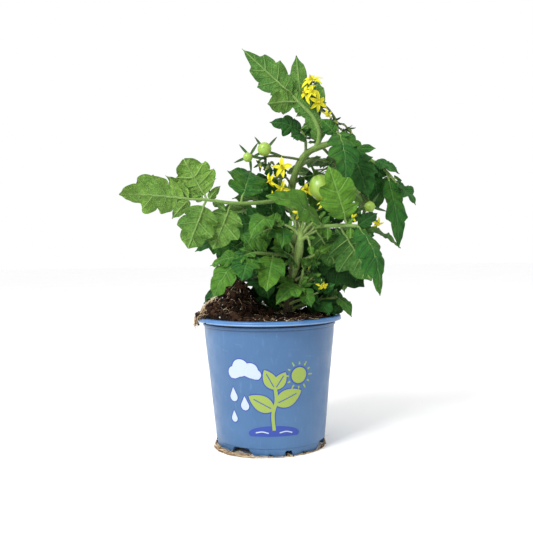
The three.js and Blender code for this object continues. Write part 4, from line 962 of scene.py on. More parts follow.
# The fronds: name, stalk, its radii, where it faces, its tone, which above 1 is painted shade, and its
# leaflets, the end one first.
FRONDS = [
    frond(
        "frond_left",
        [(22, 10, 226), (-3, -8, 221), (-30, -18, 220), (-53, -22, 223), (-71, -24, 224)],
        (2.1, 1.1), (0.1, 0.85, 0.5), 0.15,
        leaf(1, (-134, -10, 230), 44, 4, arch=0.05, point=0.25),
        leaf(0.76, (-74, -18, 260), 40, 4, (0.1, 0.9, -0.2), point=0.05, cut=0.8, tone=0),
        leaf(0.76, (-70, -32, 180), 36, 3, tone=0.5, point=0.15),
        leaf(0.44, (-14, 14, 257), 42, 4, (0.15, -0.9, 0.35), arch=0.16, tone=0.9),
        leaf(0.52, (-50, -26, 180), 37, 3, (0.3, 0.85, 0.4), tone=0.5, point=0.2),
        between=0,
        lobes=[
            (0.74, (-42, -14, 236), 9, 0.2),
            (0.79, (-77, -13, 231), 11, 0.3),
            (0.7, (-37, -18, 213), 9, 0.6),
            (0.97, (-91, -14, 246), 13, 0.2),
            (0.97, (-86, -14, 207), 13, 0.2),
        ],
    ),
    frond(
        "frond_top",
        [(46, 0, 271), (48, -4, 283), (43, -4, 297), (34, -5, 307), (24, -5, 317)],
        (2.2, 1.3), (-0.45, 0.75, 0.5), 0.65,
        leaf(1, (-21, -4, 360), 30, 4, arch=-0.04, point=0.95, tone=0.9, cut=0.5),
        leaf(0.8, (29, 14, 358), 21, 2, (0.1, 0.9, 0.1)),
        leaf(0.6, (48, 18, 349), 25, 2, (0.2, 0.9, 0.1), arch=0.08, tone=0.7),
        leaf(0.88, (1, -12, 309), 24, 2, (-0.3, 0.85, 0.4)),
        wing=7.2,
    ),
    frond(
        "frond_top_dark",
        [(36, 4, 264), (36, 7, 279), (33, 8, 287)],
        (1.5, 1.0), (-0.1, -0.75, 0.65), 1.1,
        leaf(1, (3, 3, 295), 26, 3, (-0.1, -0.9, 0.4), arch=0.14, curl=0.3, point=0.8, cut=1.5),
        leaf(0.72, (18, -8, 280), 17, 2, (-0.1, -0.9, 0.4)),
        leaf(0.6, (44, 14, 296), 15, 2, (0.2, -0.7, 0.6)),
        leaf(0.5, (34, 40, 284), 20, 2, (0, 0.3, 0.9)),
        between=1, small=(9, 16),
    ),
    frond(
        "frond_crest",
        [(60, -4, 274), (62, -14, 279), (64, -22, 279)],
        (1.8, 1.2), (0.3, -0.9, 0.3), 1.0,
        leaf(1, (66, -46, 233), 32, 3, arch=0.12, cut=1.35),
        leaf(0.85, (85, -28, 263), 19, 2, (0.1, -0.85, 0.5), arch=0.1),
        leaf(0.6, (49, -16, 294), 15, 2, (-0.1, -0.9, 0.3)),
    ),
    frond(
        "frond_right",
        [(63, -1, 279), (80, 6, 270), (96, 8, 260), (109, 6, 250), (119, 3, 238)],
        (2.0, 1.1), (0.55, -0.1, 0.8), 1.0,
        leaf(1, (136, -2, 217), 22, 3, (0.6, -0.6, 0.5), arch=0.06, tone=0.9, cut=1.4),
        leaf(0.76, (119, -6, 178), 25, 3, (0.4, -0.85, 0.2), arch=0.06, point=0.3, cut=1.4),
        leaf(0.52, (122, 2, 246), 18, 2, (0.2, -0.7, 0.7), arch=0.08, cut=1.5),
        leaf(0.82, (124, 40, 212), 26, 2, (0.5, 0.3, 0.8), cut=1.4),
        leaf(0.5, (103, 8, 214), 32, 3, (0.2, -0.9, 0.2), cut=1.4),
        leaf(0.5, (104, 46, 240), 28, 2, (0.4, 0.3, 0.8)),
        leaf(0.2, (86, 14, 216), 34, 3, (0.1, -0.95, 0.1)),
        between=1, small=(12, 20),
    ),
    frond(
        "frond_front_right",
        [(28, -1, 192), (44, -25, 197), (62, -45, 198), (75, -55, 197)],
        (2.1, 1.4), (0.35, -0.75, 0.55), 0.5,
        leaf(1, (90, -77, 139), 34, 4, arch=0.16, tone=0.9, droop=0.02, curl=0.75),
        leaf(0.8, (51, -63, 247), 34, 4, (0, -0.95, 0.25), arch=0.04, tone=0.2),
        leaf(0.66, (88, -46, 150), 46, 3, (0.1, 0.95, 0.2), tone=1.35),
        leaf(0.42, (0, -78, 223), 32, 3, (-0.1, -0.8, 0.6), arch=0.08, tone=0.25),
        leaf(0.3, (62, -26, 160), 32, 3, (0.1, 0.95, 0.2), tone=1.3),
        between=1, small=(10, 18),
        lobes=[(1, (94, -44, 208), 13, 1.4)],
    ),
    frond(
        "frond_front_left",
        [(26, -2, 180), (14, -22, 194), (8, -30, 201)],
        (1.8, 1.1), (-0.3, -0.6, 0.75), 0.6,
        leaf(1, (-15, -50, 188), 30, 3, arch=0.3),
        leaf(0.7, (-5, -10, 206), 22, 3, (-0.2, -0.7, 0.6)),
        leaf(0.7, (12, -54, 180), 20, 2, (0.3, -0.7, 0.6), arch=0.15),
        between=1, small=(8, 14),
    ),
    frond(
        "frond_low_left",
        [(25, -2, 171), (6, -20, 174), (-14, -35, 175), (-24, -42, 170)],
        (1.9, 1.1), (-0.4, -0.6, 0.7), 0.5,
        leaf(1, (-48, -48, 137), 34, 3, arch=0.1, tone=0.4),
        leaf(0.8, (-51, -34, 165), 24, 3, (-0.2, -0.5, 0.8)),
        leaf(0.36, (-2, -58, 144), 29, 3, (0, -0.95, 0.2), arch=0.08, point=0.2, tone=0.15),
        leaf(0.55, (-13, -4, 202), 30, 3, (-0.1, -0.9, 0.1), tone=0.6),
        leaf(0.7, (-22, -64, 148), 26, 3, (-0.1, -0.9, 0.4), tone=0.9),
        between=2, small=(10, 20),
    ),
    frond(
        "frond_shoot_low",
        [(19, 0, 133), (24, -14, 142), (28, -22, 145)],
        (1.4, 0.9), (0, -0.7, 0.7), 0.45,
        leaf(1, (6, -50, 132), 24, 3, arch=0.14),
        leaf(0.9, (36, -44, 135), 18, 2, arch=0.12),
        leaf(0.6, (6, -26, 152), 16, 2),
        between=2, small=(8, 14),
    ),
    frond(
        "frond_low_right",
        [(23, -1, 158), (38, -6, 170), (48, -12, 174)],
        (1.8, 1.2), (0.25, -0.8, 0.5), 1.9,
        leaf(1, (80, -24, 139), 42, 3, (0.1, -0.95, 0.2), arch=0.04),
        leaf(0.5, (48, 6, 130), 36, 3, (0, -0.95, 0.1)),
        leaf(0.75, (74, 14, 146), 32, 2, (0.1, -0.9, 0.3)),
        between=2, small=(12, 22),
    ),
    frond(
        "frond_rim_right",
        [(17, 0, 122), (40, -2, 130), (62, -8, 134)],
        (1.6, 1.0), (0.4, -0.5, 0.7), 1.5,
        leaf(1, (74, -15, 116), 16, 2, arch=0.12, tone=0.6),
        leaf(0.55, (53, -32, 121), 22, 2, (0.1, -0.8, 0.6)),
        leaf(0.6, (66, 14, 122), 28, 2, (0.1, -0.9, 0.3)),
        between=2, small=(12, 20),
    ),
    frond(
        "frond_behind_left",
        [(27, -1, 188), (-3, 20, 191), (-29, 30, 190)],
        (2.0, 1.2), (-0.2, -0.6, 0.75), 1.0,
        leaf(1, (-71, 32, 178), 30, 3, arch=0.08),
        leaf(0.8, (-48, 14, 162), 38, 3, (-0.1, -0.9, 0.3)),
        leaf(0.8, (-42, 68, 188), 28, 2, (-0.1, 0.4, 0.9)),
        leaf(0.45, (-12, -2, 156), 38, 3, (0, -0.9, 0.3), tone=1.4),
        leaf(0.3, (6, 14, 158), 26, 2, (0, -0.95, 0.1), tone=1.5),
        leaf(0.45, (-8, 58, 192), 28, 2, (-0.1, 0.4, 0.9)),
        between=2, small=(14, 24),
    ),
    frond(
        "frond_middle_left",
        [(27, 4, 206), (6, 22, 208), (-10, 28, 204)],
        (1.9, 1.1), (-0.1, -0.85, 0.5), 1.0,
        leaf(1, (-40, 20, 196), 32, 3, arch=0.1),
        leaf(0.72, (-6, 8, 174), 30, 3),
        leaf(0.55, (10, 14, 246), 30, 3, (-0.1, -0.95, 0)),
        leaf(0.72, (-16, 60, 216), 28, 2, (-0.1, 0.4, 0.9)),
        between=2, small=(14, 24),
    ),
    frond(
        "frond_low_behind",
        [(21, 0, 146), (-8, 26, 153), (-31, 30, 148)],
        (1.7, 1.1), (-0.3, -0.2, 0.9), 1.4,
        leaf(1, (-62, 18, 128), 24, 3, arch=0.1),
        leaf(0.75, (-42, 58, 136), 26, 2, (-0.3, 0.5, 0.8)),
        leaf(0.5, (0, 58, 144), 26, 2, (0, 0.5, 0.8)),
        leaf(0.55, (-13, 0, 124), 36, 3, (0, -0.95, 0.2)),
        leaf(0.24, (12, 18, 120), 34, 2, (0, -0.95, 0.1)),
        between=2, small=(14, 24),
    ),
    frond(
        "frond_behind_right",
        [(28, 0, 197), (60, 30, 201), (90, 42, 198)],
        (2.0, 1.2), (0.3, -0.3, 0.85), 0.9,
        leaf(1, (129, 36, 178), 32, 3, arch=0.08, tone=0.4),
        leaf(0.78, (92, 8, 170), 32, 3, (0.1, -0.9, 0.3)),
        leaf(0.78, (102, 82, 190), 32, 2, (0.2, 0.5, 0.8)),
        leaf(0.45, (60, 6, 162), 36, 3, (0.1, -0.9, 0.3), tone=1.6),
        leaf(0.45, (60, 70, 198), 28, 2, (0.1, 0.4, 0.9)),
        leaf(0.3, (58, 4, 224), 28, 2, (0, -0.95, 0.1), tone=1.5),
        leaf(0.2, (38, 2, 164), 24, 2, (0, -0.95, 0.1), tone=1.6),
        between=2, small=(14, 24),
    ),
    frond(
        "frond_back_high",
        [(30, 7, 255), (46, 28, 264), (62, 46, 262)],
        (1.8, 1.1), (0.1, 0.3, 0.95), 0.8,
        leaf(1, (88, 84, 248), 32, 3, arch=0.12),
        leaf(0.75, (42, 74, 254), 28, 2, arch=0.1),
        leaf(0.7, (80, 22, 246), 26, 2, arch=0.1),
    ),
    frond(
        "frond_back_left",
        [(25, 7, 214), (5, 42, 222), (-16, 70, 216)],
        (2.0, 1.1), (-0.2, 0.4, 0.9), 0.6,
        leaf(1, (-48, 112, 188), 36, 3, arch=0.14),
        leaf(0.8, (-58, 66, 208), 30, 2, arch=0.08),
        leaf(0.8, (16, 106, 202), 30, 2, arch=0.1),
        leaf(0.4, (-34, 34, 228), 26, 2, arch=0.08),
    ),
    frond(
        "frond_back_right",
        [(24, 9, 241), (52, 38, 250), (76, 60, 244)],
        (2.0, 1.1), (0.2, 0.4, 0.9), 0.6,
        leaf(1, (104, 96, 216), 34, 3, arch=0.14),
        leaf(0.78, (52, 98, 234), 30, 2, arch=0.1),
        leaf(0.78, (114, 56, 226), 28, 2, arch=0.08),
        leaf(0.4, (20, 58, 254), 24, 2, arch=0.06),
        leaf(0.45, (46, 18, 212), 30, 3, (0, -0.95, 0.3)),
    ),
    frond(
        "frond_low_back",
        [(24, -1, 164), (44, 38, 166), (58, 60, 158)],
        (1.8, 1.1), (0.2, 0.4, 0.9), 0.7,
        leaf(1, (80, 92, 132), 32, 3, arch=0.12),
        leaf(0.75, (26, 86, 152), 28, 2, arch=0.1),
        leaf(0.75, (92, 44, 150), 26, 2, arch=0.1),
        leaf(0.45, (44, 22, 121), 38, 2, (0, -0.95, 0.2), tone=1.6),
        leaf(0.25, (26, 18, 124), 28, 2, (0, -0.95, 0.2), tone=1.7),
        between=2, small=(12, 22),
    ),
]


# The main stem, from its foot in the soil to the growing tip.
STEM = [(15, 0, 100), (17, 0, 120), (22, 0, 150), (25, -2, 173), (28, -1, 192), (26, 6, 211), (22, 10, 229)]
STEM += [(27, 8, 250), (36, 4, 265), (47, 0, 271), (59, -4, 275), (66, 0, 285)]
STEM_RADII = (4.4, 2.3)
# Largest bloom with five petals, not six.
FIVE_PETALS = 14
PETAL_THICKNESS = 0.3
STEM_HAIRS = 1900
TRUSS_HAIRS = 130
STALKLET_HAIRS = 45
SEPAL_BENDS = {"bloom": (-10, 30), "bud": (-45, -25), "fruit": (-30, 30)}


def main_stem():
    """Slightly angular, thicker where a frond or a truss leaves it."""
    rng = seeded("stem")
    shape = Shape()
    line = smooth_line(STEM, 110)
    share = np.linspace(0, 1, len(line))
    radii = STEM_RADII[0] + (STEM_RADII[1] - STEM_RADII[0]) * share
    for row in [*FRONDS, *TRUSSES]:
        away = np.linalg.norm(line - np.array(row["stalk"][0], float), axis=1)
        radii = radii + 0.45 * np.exp(-((away / 4.5) ** 2))
    radii = radii * (1 + 0.02 * np.sin(share * 60)) * 0.97
    radii[-3:] *= (0.9, 0.7, 0.35)
    tube(shape, line, radii, sides=16)
    hairs_on(HAIRS, line[8:], radii[8:], STEM_HAIRS, HAIR_LENGTH * 1.1, rng)
    piece = shape.piece("main_stem", [STEM_SKIN])
    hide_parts("stem")


def curved_blade(shape, foot, ahead, up, length, half, paint=0, bend=0.0, fold=0.2, rows=12):
    """A narrow pointed blade that bends towards up along its length, such as a petal or sepal.

    half: the greatest half width, the share of its rise at the foot, the rise's power and the least width.
    """
    t = np.linspace(0, 1, rows)
    angle = np.radians(bend) * t
    ahead = unit(ahead)
    up = unit(up - ahead * (up @ ahead))
    way = np.cos(angle)[:, None] * ahead + np.sin(angle)[:, None] * up
    centre = foot + np.vstack([np.zeros(3), np.cumsum(way[:-1] * (length / (rows - 1)), axis=0)])
    normal = np.cos(angle)[:, None] * up - np.sin(angle)[:, None] * ahead
    side = np.cross(normal, way)
    r = np.linspace(-1, 1, 5)
    most, rise, power, least = half
    width = np.maximum(most * np.sin(math.pi * np.clip(rise + (1 - rise) * t, 0, 1)) ** power, least)
    across = width[:, None] * r
    lift = fold * np.abs(across)
    grid = centre[:, None] + side[:, None] * across[..., None] + normal[:, None] * lift[..., None]
    look = np.stack(np.broadcast_arrays(t[:, None], np.abs(r)[None], 0.0), -1)
    sheet_body(shape, grid, PETAL_THICKNESS, paint=paint, petal=look)
    return centre


def directions_round(axis, count, turn):
    """Rays across an axis, as the solids have them."""
    lead = np.array((1.0, 0, 0)) if abs(axis[2]) > 0.9 else np.array((0, 0, 1.0))
    one = unit(lead - axis * (lead @ axis))
    two = np.cross(axis, one)
    return [one * math.cos(a) + two * math.sin(a) for a in turn + np.arange(count) * TURN / count]


def sepals(shape, end, seat, rng):
    """Five pointed sepals with fine hairs, behind a flower, bud or fruit."""
    axis, size = end["axis"], end["size"]
    kind = end["kind"].replace("small ", "")
    reach = {"bloom": size * 0.36, "bud": min(6 + size, 9), "fruit": min(10.5 + size, 19)}[kind]
    spread = {"bloom": 118, "bud": 40, "fruit": 96}[kind]
    half = (0.8 if kind == "bloom" else 1.2, 0.12, 0.7, 0.12)
    for ray in directions_round(axis, 5, math.pi / 5):
        lean = math.radians(spread + rng.uniform(-12, 10))
        ahead = axis * math.cos(lean) + ray * math.sin(lean)
        bends = {kind: rng.uniform(*span) for kind, span in SEPAL_BENDS.items()}
        length = reach * rng.uniform(0.9, 1.12)
        line = curved_blade(shape, seat, ahead, axis, length, half, 1, bends[kind], 0.25)
        hairs_on(HAIRS, line, 0.5, 10, 0.8, rng)


def bloom(shape, end, rng, paint=0):
    """A flower: narrow petals that bend back, round a cone of anthers, which has the paint after theirs."""
    centre, axis, size = end["centre"], end["axis"], end["size"]
    half = (size * 0.105, 0.2, 0.9, 0.1)
    for ray in directions_round(axis, 6 if size > FIVE_PETALS else 5, rng.uniform(-0.3, 0.3)):
        lean = math.radians(rng.uniform(62, 100))
        ray = unit(ray + rng.uniform(-0.3, 0.3) * np.cross(axis, ray))
        ahead = axis * math.cos(lean) + ray * math.sin(lean)
        bend = -rng.uniform(10, 95)
        length = size / 2 * rng.uniform(1.0, 1.35)
        curved_blade(shape, centre, ahead, axis, length, half, paint, bend, 0.45, rows=14)
    t = np.linspace(0, 1, 9)
    line = centre + axis * (-0.7 + t[:, None] * size * 0.38)
    tube(shape, line, size * (0.075 * (1 - t**2.2) + 0.018), sides=10, paint=paint + 1)


def bloom_piece(end, name):
    shape = Shape()
    bloom(shape, end, seeded(name))
    piece = shape.piece(name + "_flower", [PETAL, CONE])
    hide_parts(name)


def fruit_piece(end, name):
    """A green fruit: a faintly lobed ball or egg with a scar at its tip."""
    shape = Shape()
    rows, columns = 26, 36
    t = np.linspace(0, math.pi, rows)[:, None]
    a = np.linspace(0, TURN, columns, endpoint=False)[None]
    centre, axis, radius, long = end["centre"], end["axis"], end["size"], end["long"]
    lobed = 1 + 0.012 * np.cos(5 * a + 0.6) * np.sin(t) ** 2
    sunk = 1 - 0.1 * np.exp(-((t / 0.35) ** 2)) - 0.03 * np.exp(-(((math.pi - t) / 0.3) ** 2))
    one, two = directions_round(axis, 4, 0.0)[:2]
    around = np.cos(a)[..., None] * one + np.sin(a)[..., None] * two
    grid = (
        centre
        + (np.sin(t) * lobed)[..., None] * around * radius
        - (np.cos(t) * sunk * long)[..., None] * axis * np.ones_like(a)[..., None]
    )
    down, turn = np.broadcast_arrays(t[1:-1] / math.pi, np.minimum(a, TURN - a))
    skin = np.stack([down, turn, np.zeros_like(down)], -1).reshape(-1, 3)
    points = np.vstack([grid[1:-1].reshape(-1, 3), grid[0, 0], grid[-1, 0]])
    shape.add(points, *closed_skin(rows - 2, columns), skin=np.vstack([skin, (0, 0, 0), (1, 0, 0)]))
    tip = centre + axis * long * 0.96
    tube(shape, np.array([tip, tip + axis * 0.8]), (0.32, 0.12), sides=6, paint=1)
    piece = shape.piece(name + "_skin", [FRUIT, SCAR])
    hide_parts(name)


def truss(name, stalk, radii, *ends):
    """A truss's row. Each end: share of the stalk, kind, centre, axis, size and half length.

    The size is how wide a bloom is, and the radius of a fruit or bud.
    """
    rows = []
    for share, kind, centre, axis, size, *long in ends:
        place = {"from": point_on(stalk, share), "centre": np.array(centre, float), "axis": unit(axis)}
        rows.append({**place, "kind": kind, "size": size, "long": long[0] if long else size})
    return {"name": name, "stalk": stalk, "radii": radii, "ends": rows}


def truss_piece(row):
    """The stalk of a truss, its stalklets with their knuckles, sepals, small blooms and closed buds."""
    rng = seeded(row["name"])
    shape = Shape()
    line = smooth_line(row["stalk"], 20)
    radii = np.linspace(*row["radii"], len(line))
    radii[0] *= 1.3
    tube(shape, line, radii, sides=9)
    hairs_on(HAIRS, line[2:], radii[2:], TRUSS_HAIRS, HAIR_LENGTH * 0.9, rng)
    counts = {"bloom": 0, "fruit": 0}
    for end in row["ends"]:
        kind = end["kind"]
        behind = 1.6 if "bloom" in kind else end["long"] + 0.9
        seat = end["centre"] - end["axis"] * behind
        path = smooth_line([end["from"], seat - end["axis"] * 4, seat], 15)
        t = np.linspace(0, 1, len(path))
        thick = 0.72 + 0.18 * t + 0.45 * np.exp(-(((t - 0.5) / 0.06) ** 2))
        tube(shape, path, thick, sides=8)
        hairs_on(HAIRS, path, thick, STALKLET_HAIRS, HAIR_LENGTH * 0.7, rng)
        sepals(shape, end, seat, rng)
        if kind == "bud":
            bud(shape, end)
            continue
        if kind == "small bloom":
            bloom(shape, end, rng, paint=2)
            continue
        counts[kind] += 1
        name = f"{kind}{row['name'].removeprefix('truss')}_{counts[kind]}"
        if kind == "bloom":
            bloom_piece(end, name)
        else:
            fruit_piece(end, name)
    piece = shape.piece(row["name"] + "_stalk", [TRUSS_STALK, SEPAL, PETAL, CONE])
    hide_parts(row["name"])


def bud(shape, end):
    """A closed bud: a green pointed body with the yellow of the petals at its tip."""
    axis, size = end["axis"], end["size"]
    t = np.linspace(0, 1, 10)
    line = end["centre"] + axis * ((2 * t[:, None] - 1) * (end["long"] + 1))
    tube(shape, line, size * np.maximum(np.sin(math.pi * t**0.85) ** 0.75, 0.06), sides=10)
    tube(shape, np.array([line[-3], line[-1] + axis * 1.6]), (size * 0.42, 0.2), sides=6, paint=2)


TRUSSES = [
    truss(
        "truss_left",
        [(33, 5, 260), (21, 1, 262), (5, -5, 263), (-5, -8, 261)],
        (1.3, 0.9),
        (0.85, "fruit", (-2, -15, 268), (-0.1, -0.98, 0.1), 6.2),
        (1, "fruit", (-17, -15, 261), (-0.3, -0.9, -0.3), 4.3, 4.6),
        (0.93, "bud", (-6, -15, 254), (0.1, -0.8, -0.6), 2.4, 2.6),
    ),
    truss(
        "truss_middle",
        [(23, 9, 235), (18, -2, 243), (12, -6, 244)],
        (1.1, 0.8),
        (0.8, "bloom", (14, -14, 251), (-0.2, -0.9, 0.4), 18),
        (1, "bloom", (3, -14, 240), (-0.7, -0.6, -0.4), 15),
        (0.9, "bloom", (13, -15, 233), (0, -0.8, -0.6), 14),
        (1, "small bloom", (6, -16, 225), (-0.5, -0.7, -0.5), 10),
        (0.95, "bud", (1, -14, 252), (-0.5, -0.6, -0.6), 1.8, 2.8),
    ),
    truss(
        "truss_top",
        [(65, -1, 283), (65, 6, 295), (58, 8, 307), (49, 6, 314)],
        (1.2, 0.8),
        (1, "bloom", (41, -4, 331), (-0.2, -0.7, 0.7), 18),
        (0.92, "bloom", (37, -7, 319), (-0.7, -0.7, 0.1), 18),
        (0.9, "bloom", (47, -7, 311), (0.3, -0.9, -0.3), 16),
        (0.62, "bloom", (56, -3, 300), (-0.4, -0.6, -0.7), 10),
        (0.3, "bud", (76, 3, 287), (0.6, -0.3, -0.7), 2.2, 2.6),
        (0.95, "small bloom", (41, -12, 319), (0.1, -0.9, 0.2), 13),
        (0.7, "bud", (50, 0, 305), (0.2, -0.7, -0.6), 1.8, 3),
        (0.5, "bud", (63, 0, 294), (0.4, -0.7, -0.4), 2, 2.8),
        (0.2, "bud", (71, -2, 284), (0.3, -0.8, -0.5), 1.8, 2.6),
    ),
    truss(
        "truss_right",
        [(50, -1, 272), (65, 12, 258), (79, 14, 240), (92, 2, 224)],
        (1.4, 1.0),
        (0.42, "fruit", (48, -13, 233), (0.25, -0.3, -0.92), 10.2, 12.5),
        (0.62, "fruit", (79, -6, 236), (0.1, -0.5, -0.85), 9, 9.5),
        (1, "fruit", (91, -20, 215), (-0.15, -0.95, -0.1), 4.8),
        (0.97, "bud", (84, -18, 206), (-0.3, -0.8, -0.5), 2.6, 2.8),
        (0.99, "bloom", (98, -18, 200), (0.3, -0.7, -0.6), 11),
        (0.97, "small bloom", (76, -17, 205), (-0.4, -0.8, 0.2), 9),
        (0.98, "small bloom", (84, -19, 199), (-0.2, -0.8, -0.5), 10),
    ),
    truss(
        "truss_behind",
        [(24, 8, 220), (33, 15, 226), (38, 12, 232)],
        (1.1, 0.8),
        (1, "bloom", (36, 1, 233), (-0.1, -0.9, 0.1), 14),
        (0.8, "small bloom", (31, -5, 230), (-0.3, -0.9, 0.2), 11),
    ),
    truss(
        "truss_front",
        [(27, -1, 185), (26, -22, 197), (25, -36, 204)],
        (1.0, 0.8),
        (1, "bloom", (27, -46, 208), (0.2, -0.9, 0.3), 12),
        (0.9, "bloom", (50, -20, 218), (0.4, -0.6, 0.6), 12),
    ),
    truss(
        "truss_low",
        [(21, 0, 140), (34, -10, 147), (42, -18, 147)],
        (1.0, 0.7),
        (1, "bloom", (48, -27, 146), (0.3, -0.9, -0.3), 12),
        (0.7, "bud", (36, -16, 158), (0, -0.4, 0.9), 1.7, 2),
    ),
]


# The pot. Each notch: how wide it is at the foot and at its top, and how high.
POT_SIDES = 144
BODY_FOOT = BASE_RADIUS + 1.2
WALL_RISE = POT_HEIGHT - 9.5 - FOOT_HEIGHT
INSIDE_TOP = POT_HEIGHT - 1.4
NOTCH_TOP_ROUND = 0.9
NOTCH_DEPTHS = (BASE_RADIUS - 9, BASE_RADIUS + 3)
SHARP_BEND = 38
LARGE_NOTCH = (27, 15, 7)
MIDDLE_NOTCH = (9, 5.5, 5.2)
SMALL_NOTCH = (5, 3, 2)
NOTCHES = [(heading, LARGE_NOTCH) for heading in (-152, -93, -32, 70, 128)]
NOTCHES += [(heading, SMALL_NOTCH) for heading in (-120, -63, 0, 36, 100)]
NOTCHES += [(heading, MIDDLE_NOTCH) for heading in (18, 164)]
NOTCHES.sort()
# Corners of the shoulder band and the rolled lip: how far out from the body's top or from the rim,
# how far down from the pot's top, and the radius that rounds them.
SHOULDER = [(-0.35, 8.7, 0.15), (-0.35, 8.2, 0.15), (0.8, 7.7, 0.35), (0.8, 5.7, 0.35), (-0.2, 5.1, 0.25)]
SHOULDER += [(-0.1, 2.8, 0.25)]
LIP = [(-0.9, 3.5, 0.25), (0, 3.5, 0.3), (0.1, 2.8, 0.3), (-0.35, 2.4, 0.3), (-0.1, 0.9, 0.7)]
LIP += [(-1.1, 0, 0.6)]


def body_radius(z):
    """Outer radius of the tapered wall at a height."""
    return BODY_FOOT + (BODY_TOP_RADIUS - BODY_FOOT) * (z - FOOT_HEIGHT - 0.5) / WALL_RISE


def dent(angle, z):
    """How far the thin wall bulges out or in, measured round from the front."""
    calm = np.sin(np.pi * np.clip((z - 4) / (POT_HEIGHT - 8), 0, 1))
    wide = 0.28 * np.sin(2 * angle + 1.1)
    return calm * (wide + 0.16 * np.sin(5 * angle + z / 22) + 0.1 * np.sin(9 * angle + z / 11))


def on_wall(angle, radius, z):
    """Points of the dented wall. angle is measured from the front, to the right."""
    return np.stack([radius * np.sin(angle), -radius * np.cos(angle), z + 0 * angle], -1)


def rounded(corners):
    """Each corner (r, z, round) of a profile turned into a short arc of that radius."""
    points = []
    for i, (r, z, radius) in enumerate(corners):
        here = np.array((r, z), float)
        if not radius or i in (0, len(corners) - 1):
            points.append(here)
            continue
        start = here + unit(np.array(corners[i - 1][:2]) - here) * radius
        end = here + unit(np.array(corners[i + 1][:2]) - here) * radius
        for t in (0, 0.25, 0.5, 0.75, 1):
            points.append((1 - t) ** 2 * start + 2 * t * (1 - t) * here + t**2 * end)
    return np.array(points)


def pot_profile():
    """The wall's outline, from the middle of the underside round the lip to the middle of the floor."""
    widening = BODY_TOP_RADIUS - BODY_FOOT
    rise = [(BODY_FOOT + widening * t, FOOT_HEIGHT + 0.5 + WALL_RISE * t, 0) for t in np.arange(1, 16) / 16]
    return rounded(
        [
            (0, 0, 0),
            (PAD_RADIUS, 0, 0.6),
            (PAD_RADIUS + 4, CHANNEL_HEIGHT, 0.8),
            (CHANNEL_RADIUS, CHANNEL_HEIGHT, 0.8),
            (CHANNEL_RADIUS + 1.5, 0, 0.4),
            (BASE_RADIUS, 0, 0.4),
            (BASE_RADIUS + 0.7, FOOT_HEIGHT, 0.25),
            (BODY_FOOT, FOOT_HEIGHT + 0.5, 0.25),
            *rise,
            *((BODY_TOP_RADIUS + out, POT_HEIGHT - down, radius) for out, down, radius in SHOULDER),
            *((RIM_RADIUS + out, POT_HEIGHT - down, radius) for out, down, radius in LIP),
            (BODY_TOP_RADIUS + 0.3, POT_HEIGHT, 0.7),
            (BODY_TOP_RADIUS - WALL, INSIDE_TOP, 0.6),
            (BODY_FOOT - WALL, FOOT_HEIGHT, 0.5),
            (CHANNEL_RADIUS, CHANNEL_HEIGHT + FLOOR, 0.5),
            (PAD_RADIUS + 5, CHANNEL_HEIGHT + FLOOR, 0.5),
            (PAD_RADIUS + 1, FLOOR, 0.5),
            (0, FLOOR, 0),
        ]
    )


def mesh_of(name, points, faces):
    """A mesh from points in millimetres, with every face turned outwards."""
    mesh = bpy.data.meshes.new(name)
    mesh.from_pydata(np.multiply(points, MM).tolist(), [], faces)
    work = bmesh.new()
    work.from_mesh(mesh)
    bmesh.ops.recalc_face_normals(work, faces=work.faces)
    work.to_mesh(mesh)
    work.free()
    return mesh


def lathed(name, profile, sides):
    """A closed mesh turned round the Z axis, on which its profile starts and ends, with the wall's dents."""
    angle = np.arange(sides) * TURN / sides
    radius, height = profile[1:-1, 0][:, None], profile[1:-1, 1][:, None]
    radius = radius + np.where(radius > CHANNEL_RADIUS + 2, dent(angle[None], height), 0)
    rings = on_wall(angle, radius, height).reshape(-1, 3)
    quads, caps = closed_skin(len(profile) - 2, sides)
    points = np.vstack([rings, (0, 0, profile[0, 1]), (0, 0, profile[-1, 1])])
    return mesh_of(name, points, quads.tolist() + caps.tolist())


def notch_cutters():
    """One mesh with a rounded trapezium through the foot at each notch."""
    points, faces = [], []
    for heading, (wide, narrow, high) in NOTCHES:
        half_foot, half_top = wide / 2, narrow / 2
        top = [(-half_top, high, NOTCH_TOP_ROUND), (half_top, high, NOTCH_TOP_ROUND)]
        side = rounded([(-half_foot, -1, 0), *top, (half_foot, -1, 0)])
        turn = math.radians(heading)
        start = len(points)
        for depth in NOTCH_DEPTHS:
            for across, z in side:
                x = across * math.cos(turn) + depth * math.sin(turn)
                y = across * math.sin(turn) - depth * math.cos(turn)
                points.append((x, y, z))
        count = len(side)
        faces.append([start + k for k in range(count)])
        faces.append([start + count + k for k in reversed(range(count))])
        for k in range(count):
            step = (k + 1) % count
            faces.append([start + step, start + k, start + count + k, start + count + step])
    return mesh_of("notch_cutters", points, faces)


def pot_piece():
    """The moulded pot with its drainage notches cut out."""
    piece = placed("nursery_pot", lathed("nursery_pot", pot_profile(), POT_SIDES), [POT])
    cutter = linked("notch_cutters", notch_cutters())
    cut = piece.modifiers.new("notches", "BOOLEAN")
    cut.operation = "DIFFERENCE"
    cut.solver = "EXACT"
    cut.object = cutter
    bpy.context.view_layer.update()
    made = bpy.data.meshes.new_from_object(piece.evaluated_get(bpy.context.evaluated_depsgraph_get()))
    piece.modifiers.clear()
    piece.data = made
    bpy.data.objects.remove(cutter)
    made.polygons.foreach_set("use_smooth", [True] * len(made.polygons))
    made.set_sharp_from_angle(angle=math.radians(SHARP_BEND))
    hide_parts("pot")


# The print: a cloud with falling drops, a sun and a seedling, in millimetres along and up the wall.
PRINT_RADIUS = 55.0
PRINT_STEP = 2.4


